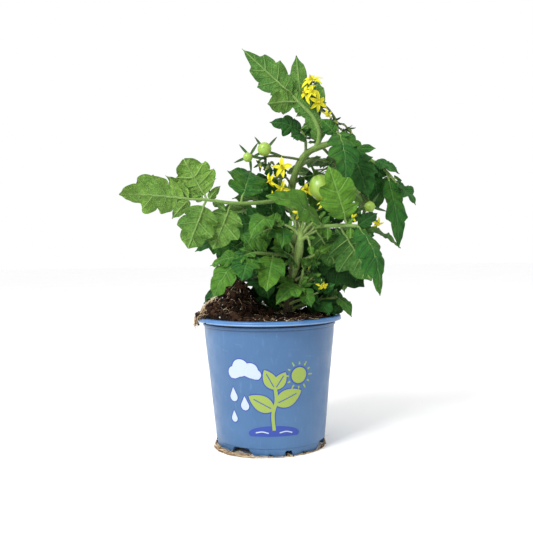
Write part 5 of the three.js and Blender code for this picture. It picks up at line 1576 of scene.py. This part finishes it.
def ink_layer(shape, lines, paint, out):
    """Closed outlines filled as thin layers of ink, out millimetres off the wall."""
    for line in lines:
        line = np.asarray(line, float)
        low, high = line.min(0), line.max(0)
        inside = [
            (x, z)
            for x in np.arange(low[0] + PRINT_STEP / 2, high[0], PRINT_STEP)
            for z in np.arange(low[1] + PRINT_STEP / 2, high[1], PRINT_STEP)
            if clear_inside(line, x, z)
        ]
        count = len(line)
        edges = [(i, (i + 1) % count) for i in range(count)]
        spots = [Vector(p) for p in [*line.tolist(), *inside]]
        flat, _, faces, *_ = delaunay_2d_cdt(spots, edges, [list(range(count))], 1, 1e-5)
        flat = np.array([tuple(p) for p in flat])
        faces = np.array([f for f in faces if len(f) == 3])
        angle, z = flat[:, 0] / PRINT_RADIUS, flat[:, 1]
        radius = body_radius(z) + dent(angle, z)
        points = np.vstack([on_wall(angle, radius + out, z), on_wall(angle, radius + 0.01, z)])
        sides = {edge: None for a, b, c in faces for edge in ((a, b), (b, c), (c, a))}
        rim = [(a, b) for a, b in sides if (b, a) not in sides]
        walls = np.array([(b, a, a + len(flat), b + len(flat)) for a, b in rim])
        shape.add(points, walls, np.vstack([faces, faces[:, ::-1] + len(flat)]), paint=paint)


def clear_inside(line, x, z):
    """True where a point is inside an outline and not close to it."""
    a, b = line, np.roll(line, -1, axis=0)
    edge = b - a
    t = np.clip(((x - a[:, 0]) * edge[:, 0] + (z - a[:, 1]) * edge[:, 1]) / (edge**2).sum(1), 0, 1)
    away = np.hypot(a[:, 0] + edge[:, 0] * t - x, a[:, 1] + edge[:, 1] * t - z)
    crossing = (a[:, 1] > z) != (b[:, 1] > z)
    level = a[:, 0] + (z - a[:, 1]) / np.where(edge[:, 1] == 0, 1, edge[:, 1]) * edge[:, 0]
    return away.min() >= PRINT_STEP * 0.35 and (crossing & (x < level)).sum() % 2 == 1


def oval(x, z, wide, high, count=40):
    a = np.arange(count) * TURN / count
    return np.stack([wide * np.cos(a), high * np.sin(a)], -1) + (x, z)


def drop_line(x, z, size, grow=0.0):
    """A drop: a round foot drawn up to a point."""
    a = np.linspace(-0.18 * math.pi, 1.18 * math.pi, 26) + math.pi
    low = np.stack([np.cos(a), np.sin(a)], -1) * (size * 0.36 + grow)
    return np.vstack([low[::-1], (0, size * 0.78 + grow * 1.7)]) + (x, z)


def leaf_line(x, z, length, wide, turn, grow=0.0):
    """A plain pointed leaf from its foot at x, z."""
    t = np.linspace(0, 1, 16)
    half = wide / 2 * np.sin(math.pi * t**0.85) ** 0.8 + grow
    along = -grow + (length + 2 * grow) * t
    points = np.vstack([np.stack([along, half], -1), np.stack([along[::-1][1:-1], -half[::-1][1:-1]], -1)])
    c, s = math.cos(math.radians(turn)), math.sin(math.radians(turn))
    return points @ np.array(((c, s), (-s, c))) + (x, z)


def band_line(points, half, grow=0.0):
    """A band of even width along a smooth line."""
    line = smooth_line([(x, z, 0) for x, z in points], 14)[:, :2]
    way = unit(np.gradient(line, axis=0))
    across = np.stack([-way[:, 1], way[:, 0]], -1)
    line[0] -= way[0] * grow
    line[-1] += way[-1] * grow
    return np.vstack([line - across * (half + grow), (line + across * (half + grow))[::-1]])


def cloud_line(x, z, grow=0.0):
    """A cloud: bumps of four circles over a level foot."""
    a = np.linspace(0, TURN, 120, endpoint=False)
    bumps = [(-9, 1.5, 5.5), (-2.5, 6, 7.5), (6.5, 4, 6.5), (11, 0.5, 4.5)]
    way = np.stack([np.cos(a), np.sin(a)], -1)
    reach = np.zeros(len(a))
    for cx, cz, radius in bumps:
        along = way @ (cx, cz)
        inside = (radius + grow) ** 2 - (cx**2 + cz**2 - along**2)
        reach = np.maximum(reach, np.where(inside > 0, along + np.sqrt(np.maximum(inside, 0)), 0))
    points = way * reach[:, None]
    points[:, 1] = np.maximum(points[:, 1], -3.5 - grow)
    return points + (x, z)


def print_piece():
    """The print in three inks: royal blue shapes, a little smaller ones in lime or white, and leaf ribs."""
    shape = Shape()
    grow = 0.9
    sun = (25.0, 71.0)
    cloud = (-23.0, 72.0)
    drops = [(-34, 52, 11), (-23, 45, 11), (-35, 33, 9)]
    stem = [(3, 24), (2, 38), (5, 50), (4, 62)]
    leaves = [(3, 42, 25, 14, 152), (4, 47, 26, 15, 24), (4, 60, 19, 11, 118), (4, 60, 17, 10, 58)]
    ripples = [[(-14, 21.8), (-8, 22.8), (-2, 21.6)], [(8, 21.8), (14, 22.8), (20, 21.4)]]
    mound = oval(3, 21, 24, 7, 48)
    mound[:, 1] = np.maximum(mound[:, 1], 18.5)
    rays = []
    for k in range(12):
        a = TURN * k / 12
        c, s = math.cos(a), math.sin(a)
        near, far, half = (9.4, 13.2 if k % 2 == 0 else 11.8, 0.75)
        ends = [(near, -half), (far, -half * 0.6), (far, half * 0.6), (near, half)]
        rays.append([(sun[0] + u * c - v * s, sun[1] + u * s + v * c) for u, v in ends])
    ribs = []
    for x, z, length, _, turn in leaves:
        c, s = math.cos(math.radians(turn)), math.sin(math.radians(turn))
        ribs.append(band_line([(x + c * length * t, z + s * length * t) for t in (0.12, 0.45, 0.8)], 0.38))
    royal = [oval(*sun, 8.1, 8.1), cloud_line(*cloud, grow), mound]
    royal += [drop_line(*drop, grow) for drop in drops]
    royal += [band_line(stem, 1.5, grow), *(leaf_line(*row, grow) for row in leaves)]
    lime = [oval(*sun, 6.9, 6.9), band_line(stem, 1.5), *(leaf_line(*row) for row in leaves), *rays]
    white = [cloud_line(*cloud), *(drop_line(*drop) for drop in drops)]
    white += [band_line(ripple, 0.5) for ripple in ripples]
    ink_layer(shape, royal, 0, 0.05)
    ink_layer(shape, lime, 1, 0.09)
    ink_layer(shape, white, 2, 0.09)
    ink_layer(shape, ribs, 0, 0.13)
    piece = shape.piece("pot_print", [ROYAL, LIME, WHITE_INK], sharp=60)


# The soil, with its crumbs, fibres and white grains.
SOIL_REACH = 58
BED_REACH = 57.5
FIBRE_REACH = 58.5
BED_CRUMBS = 1500
LIP_CRUMBS = 260
WHITE_GRAINS = 46
SOIL_FIBRES = 460
TUFT_STRANDS = 150
FOOT_STRANDS = 84
MAT_STRANDS = 74
STRAY_ROOTS = 60
FOOT_REACH = 51
LEAST_HEIGHT = 0.3


def heap(x, y, cx, cy, wide, deep, high):
    return high * np.exp(-((x - cx) ** 2) / (2 * wide**2) - (y - cy) ** 2 / (2 * deep**2))


def soil_height(x, y):
    """The bed's surface, as in the solids."""
    rough = 0.9 * np.sin(0.31 * x + 1.7) * np.cos(0.27 * y) + 0.6 * np.sin(0.73 * x - 0.61 * y)
    heaps = heap(x, y, -44, -2, 17, 22, 14) + heap(x, y, -27, 2, 11, 13, 24) + heap(x, y, 20, 4, 20, 20, 2)
    return SOIL_TOP + rough + heaps


def wall_radius(z):
    """The bed's radius at a height, just inside the pot's wall."""
    foot = BODY_FOOT - WALL
    slope = (BODY_TOP_RADIUS - WALL - foot) / (INSIDE_TOP - FOOT_HEIGHT)
    return foot + slope * (z - FOOT_HEIGHT) - SEAT


def lumps(points, scale, seed):
    """Smooth random heights from about -1 to 1."""
    return np.array([noise.noise(Vector(p) * scale + Vector((seed, 0, 0))) for p in points])


def soil_piece():
    """The bed: its underside as in the solids, and its rough surface in rings."""
    shape = Shape()
    sides, rings = 120, 46
    angle = np.arange(sides) * TURN / sides
    radius = wall_radius(SOIL_TOP) * (np.arange(rings, 0, -1) / rings) ** 0.9
    x = radius[:, None] * np.cos(angle)
    y = radius[:, None] * np.sin(angle)
    flat = np.stack([x, y, 0 * x], -1).reshape(-1, 3)
    rough = 1.5 * lumps(flat, 0.16, 3) + 0.9 * lumps(flat, 0.42, 9) + 0.5 * lumps(flat, 1.1, 5)
    z = soil_height(x, y) + rough.reshape(x.shape) * (1 + 0.04 * (soil_height(x, y) - SOIL_TOP))
    sunk = [
        (PAD_RADIUS + 0.9, FLOOR + SEAT),
        (PAD_RADIUS + 4.9, CHANNEL_HEIGHT + FLOOR + SEAT),
        (CHANNEL_RADIUS - 0.1, CHANNEL_HEIGHT + FLOOR + SEAT),
        (wall_radius(FOOT_HEIGHT), FOOT_HEIGHT + SEAT),
        (wall_radius(SOIL_TOP - 6), SOIL_TOP - 6),
    ]
    low = [np.stack([r * np.cos(angle), r * np.sin(angle), 0 * angle + h], -1) for r, h in sunk]
    rows = np.concatenate([np.array(low), np.stack([x, y, z], -1)])
    points = np.vstack([rows.reshape(-1, 3), (0, 0, FLOOR + SEAT), (0, 0, soil_height(0.0, 0.0))])
    shape.add(points, *closed_skin(len(rows), sides))
    piece = shape.piece("soil_bed", [SOIL])
    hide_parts("soil")


def pebble(subdivisions):
    work = bmesh.new()
    bmesh.ops.create_icosphere(work, subdivisions=subdivisions, radius=1.0)
    points = np.array([tuple(v.co) for v in work.verts])
    faces = np.array([[v.index for v in f.verts] for f in work.faces])
    work.free()
    return points, faces


COARSE_PEBBLE = pebble(1)
FINE_PEBBLE = pebble(2)


def crumb(shape, centre, size, rng, fine=False):
    """A small rough lump."""
    points, faces = FINE_PEBBLE if fine else COARSE_PEBBLE
    rough = 1 + 0.2 * rng.normal(size=(len(points), 1))
    scale = size * (1 + 0.5 * (rng.random(3) - 0.5))
    turn = np.linalg.qr(rng.normal(size=(3, 3)))[0]
    if np.linalg.det(turn) < 0:
        turn[0] *= -1
    body = (points * rough.clip(0.6, 1.5) * scale) @ turn
    shape.add(body + centre, tris=faces, tint=(rng.random(), 0, 0))


def on_soil(rng, heaped):
    """A place on the bed: on the heap and its foot, or anywhere."""
    if heaped:
        x = rng.normal(-33, 13)
        y = rng.normal(-4, 14)
    else:
        radius = BED_REACH * math.sqrt(rng.random())
        x, y, _ = polar(radius, rng.random() * TURN, 0)
    reach = math.hypot(x, y)
    if reach > SOIL_REACH:
        x, y = x * SOIL_REACH / reach, y * SOIL_REACH / reach
    return np.array((x, y, soil_height(x, y)))


def crumbs_piece():
    """Crumbs on the bed and the heap, on the lip beside the heap and in the notches, and white grains."""
    rng = seeded("crumbs")
    shape = Shape()
    for k in range(BED_CRUMBS):
        place = on_soil(rng, k % 5 < 2)
        size = rng.uniform(0.6, 1.7) * (1.9 if rng.random() < 0.12 else 1)
        crumb(shape, place + (0, 0, size * rng.uniform(-0.1, 0.9)), size, rng, fine=size > 1.5)
    for _ in range(LIP_CRUMBS):
        turn = math.radians(rng.normal(184, 10))
        radius = rng.uniform(56, 67.6)
        height = 117.5 + rng.random() * (7 - 0.5 * (radius - 58)) if radius < 66 else rng.uniform(112, 120)
        crumb(shape, polar(radius, turn, height), rng.uniform(0.6, 1.3), rng)
    for heading, size in NOTCHES:
        for _ in range(5 if size is LARGE_NOTCH else 4):
            turn = math.radians(heading - 90 + rng.uniform(-0.42, 0.42) * size[0])
            place = polar(rng.uniform(49.6, 51.4), turn, rng.uniform(0.9, 2.4))
            crumb(shape, place, rng.uniform(0.4, 0.9), rng)
    piece = shape.piece("soil_crumbs", [CRUMB], sharp=50)
    grains = Shape()
    for _ in range(WHITE_GRAINS):
        place = on_soil(rng, rng.random() < 0.35)
        crumb(grains, place + (0, 0, 0.9), rng.uniform(0.45, 1.0), rng, fine=True)
    piece = grains.piece("white_grains", [GRAIN], sharp=50)


def strand(shape, points, radius, rng, sides=4, count=9):
    """A thin root or fibre, thinner towards its end."""
    line = smooth_line(points, count)
    tint = (rng.random(), 0, 0)
    tube(shape, line, radius * np.linspace(1, 0.45, count), sides=sides, tint=tint)


def fibres_piece():
    """Fibres and bits of straw that lie on the soil and the heap."""
    rng = seeded("fibres")
    shape = Shape()
    for k in range(SOIL_FIBRES):
        start = on_soil(rng, k % 9 == 0)
        way = unit(np.array((rng.normal(), rng.normal(), 0.0)))
        length = rng.uniform(2.5, 9)
        points = []
        for t in (0, 0.5, 1):
            spot = start + way * length * t + rng.normal(size=3) * 0.8
            spot[:2] *= min(1, FIBRE_REACH / math.hypot(spot[0], spot[1]))
            spot[2] = soil_height(spot[0], spot[1]) + rng.uniform(0.9, 2.3)
            points.append(spot)
        strand(shape, points, rng.uniform(0.08, 0.24), rng, count=6)
    piece = shape.piece("soil_fibres", [FIBRE])


def tuft_piece():
    """The mat of fine pale roots that hangs over the lip on the left."""
    rng = seeded("tuft")
    shape = Shape()
    for _ in range(TUFT_STRANDS):
        turn = math.radians(rng.normal(185, 8))
        side = polar(1, turn + TURN / 4, 0)
        start = polar(rng.uniform(42, 56), turn, 0)
        start[2] = soil_height(start[0], start[1]) + rng.uniform(-1, 2.5)
        over = polar(rng.uniform(60, 65), turn, 0) + side * rng.normal() * 4.5
        over[2] = rng.uniform(118.6, 122)
        down = polar(rng.uniform(66.6, 68.2), turn, 0) + side * rng.normal() * 5
        down[2] = rng.uniform(111.5, 119)
        end = down + (rng.normal() * 0.9, rng.normal() * 2.5, -rng.uniform(0.5, 5))
        middle = (start + over) / 2 + rng.normal(size=3) * 1.6
        strand(shape, [start, middle, over, down, end], rng.uniform(0.07, 0.24), rng, count=13)
    piece = shape.piece("root_tuft", [ROOT])


def foot_roots_piece():
    """Roots that left the notches and run round the foot in a thin mat, thickest at the front left."""
    rng = seeded("foot_roots")
    shape = Shape()
    for k in range(FOOT_STRANDS):
        lead = k % 3 == 0
        middle = rng.normal(222, 17) if lead else rng.uniform(0, 360)
        span = rng.uniform(18, 60)
        level = rng.uniform(0.35, 2.4 if lead and middle < 215 else 0.8)
        out = rng.uniform(49.6, 51.8 if lead else 50.9)
        points = []
        for t in np.linspace(-0.5, 0.5, 6):
            radius = out + 0.35 * rng.normal()
            z = max(LEAST_HEIGHT, level + 0.35 * rng.normal())
            points.append(polar(radius, math.radians(middle + span * t), z))
        strand(shape, points, rng.uniform(0.12, 0.34), rng, sides=5, count=18)
    for _ in range(MAT_STRANDS):
        middle = rng.normal(225, 12)
        span = rng.uniform(14, 44)
        out = rng.uniform(51, 55)
        points = []
        for t in np.linspace(-0.5, 0.5, 5):
            radius = out - 3 * abs(t) + 0.4 * rng.normal()
            z = max(LEAST_HEIGHT, rng.uniform(0.3, 2.3) + 0.3 * rng.normal())
            points.append(polar(radius, math.radians(middle + span * t), z))
        strand(shape, points, rng.uniform(0.15, 0.34), rng, sides=5, count=14)
    for heading, size in NOTCHES:
        for _ in range(4 if size is LARGE_NOTCH else 2):
            turn = math.radians(heading - 90)
            spread = math.radians(0.4 * size[0])
            a = turn - spread * rng.random()
            b = turn + spread * rng.random()
            inner = rng.uniform(46.5, 48.5)
            high = rng.uniform(0.8, size[2] * 0.45)
            points = [
                polar(FOOT_REACH, a, 0.8),
                polar(inner, (2 * a + b) / 3, high),
                polar(inner, (a + 2 * b) / 3, high * 0.9),
                polar(FOOT_REACH, b, 0.7),
            ]
            strand(shape, points, rng.uniform(0.15, 0.35), rng, sides=5, count=12)
    for _ in range(STRAY_ROOTS):
        turn = rng.uniform(0, TURN)
        start = polar(51.5, turn, rng.uniform(0.4, 2))
        way = unit(np.array((math.cos(turn + rng.normal()), math.sin(turn + rng.normal()), 0.15)))
        points = [start, start + way * 2.5, start + way * 4.5 + (0, 0, rng.uniform(-0.3, 0.8))]
        points[2][2] = max(points[2][2], 0.2)
        strand(shape, points, 0.12, rng, count=5)
    piece = shape.piece("foot_roots", [ROOT])
    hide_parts("roots")


# The stage: pale floor, soft light and the photo's view.
PHOTO_WIDTH = 533
FOCAL_PIXELS = 715
CAMERA_PLACE = (-1.7, -657, 180.5)
CAMERA_PITCH = math.atan(19.5 / FOCAL_PIXELS)
CAMERA_ROLL = math.radians(0.85)
FLOOR_HALF = 6


def camera():
    data = bpy.data.cameras.new("camera")
    data.sensor_width = 36
    data.lens = data.sensor_width * FOCAL_PIXELS / PHOTO_WIDTH
    data.clip_end = 100
    made = linked("camera", data)
    turn = Matrix.Rotation(math.pi / 2 - CAMERA_PITCH, 4, "X") @ Matrix.Rotation(-CAMERA_ROLL, 4, "Z")
    made.matrix_world = Matrix.Translation(Vector(CAMERA_PLACE) * MM) @ turn
    bpy.context.scene.camera = made


def lamp(name, place, power, size, aim=(0, 0, 0.18)):
    data = bpy.data.lights.new(name, "AREA")
    data.energy = power
    data.size = size
    made = linked(name, data)
    made.location = place
    made.rotation_euler = (Vector(aim) - Vector(place)).to_track_quat("-Z", "Y").to_euler()


def stage():
    """The floor, the even light of the world and the key lamp."""
    mesh = bpy.data.meshes.new("floor")
    corners = [(x * FLOOR_HALF, y * FLOOR_HALF, 0) for x, y in ((-1, -1), (1, -1), (1, 1), (-1, 1))]
    mesh.from_pydata(corners, [], [(0, 1, 2, 3)])
    p = Paint("floor", roughness=0.9)
    p.colour(p.mix(p.scaled(p.noise(6, 2), 0.3, 0.7), (0.98, 0.98, 0.98, 1), (0.965, 0.965, 0.965, 1)))
    mesh.materials.append(p.material)
    floor = linked("floor", mesh)
    world = bpy.data.worlds.new("world")
    world.use_nodes = True
    background = world.node_tree.nodes["Background"]
    background.inputs["Color"].default_value = (1, 1, 1, 1)
    background.inputs["Strength"].default_value = 1.0
    bpy.context.scene.world = world
    lamp("key", (-0.6, -0.75, 1.0), 18, 0.5)
    bpy.context.scene.view_settings.view_transform = "Standard"


LEAF = leaf_paint()
STALK = stalk_paint("stalk", "#799a4c", "#5f8235", "#9fb876")
YOUNG_STALK = stalk_paint("young_stalk", "#93ae5e", "#759547", "#b9c992")
TRUSS_STALK = stalk_paint("truss_stalk", "#62783a", "#4a5a2c", "#8f9b68")
STEM_SKIN = main_stem_paint()
HAIR = hair_paint()
SEPAL = sepal_paint()
PETAL = petal_paint()
CONE = cone_paint()
FRUIT = fruit_paint()
SCAR = tinted_paint("fruit_scar", "#5a431d", "#8a6a2a", 900, 0.8, 0.1)
POT = pot_paint()
ROYAL = ink_paint("ink_royal_blue", "#1f3f9c", "#33549f")
LIME = ink_paint("ink_lime", "#93a946", "#81974c")
WHITE_INK = ink_paint("ink_white", "#bac7d6", "#9db2c9")
SOIL = soil_paint()
CRUMB = tinted_paint("soil_crumb", "#0c0705", "#412b1d", 700, 0.95, 0.3)
GRAIN = tinted_paint("white_grain", "#cfcac0", "#f4f2ec", 900, 0.8, 0.2)
FIBRE = tinted_paint("fibre", "#5c4128", "#e3cda6", 500, 0.85, 0.1)
ROOT = tinted_paint("root", "#7a4f25", "#f2dfba", 400, 0.8, 0.1)

camera()
stage()
pot_piece()
print_piece()
soil_piece()
crumbs_piece()
fibres_piece()
tuft_piece()
foot_roots_piece()
main_stem()
for row in FRONDS:
    frond_piece(row)
shoots_piece()
for row in TRUSSES:
    truss_piece(row)
HAIRS.piece("fine_hairs", [HAIR])
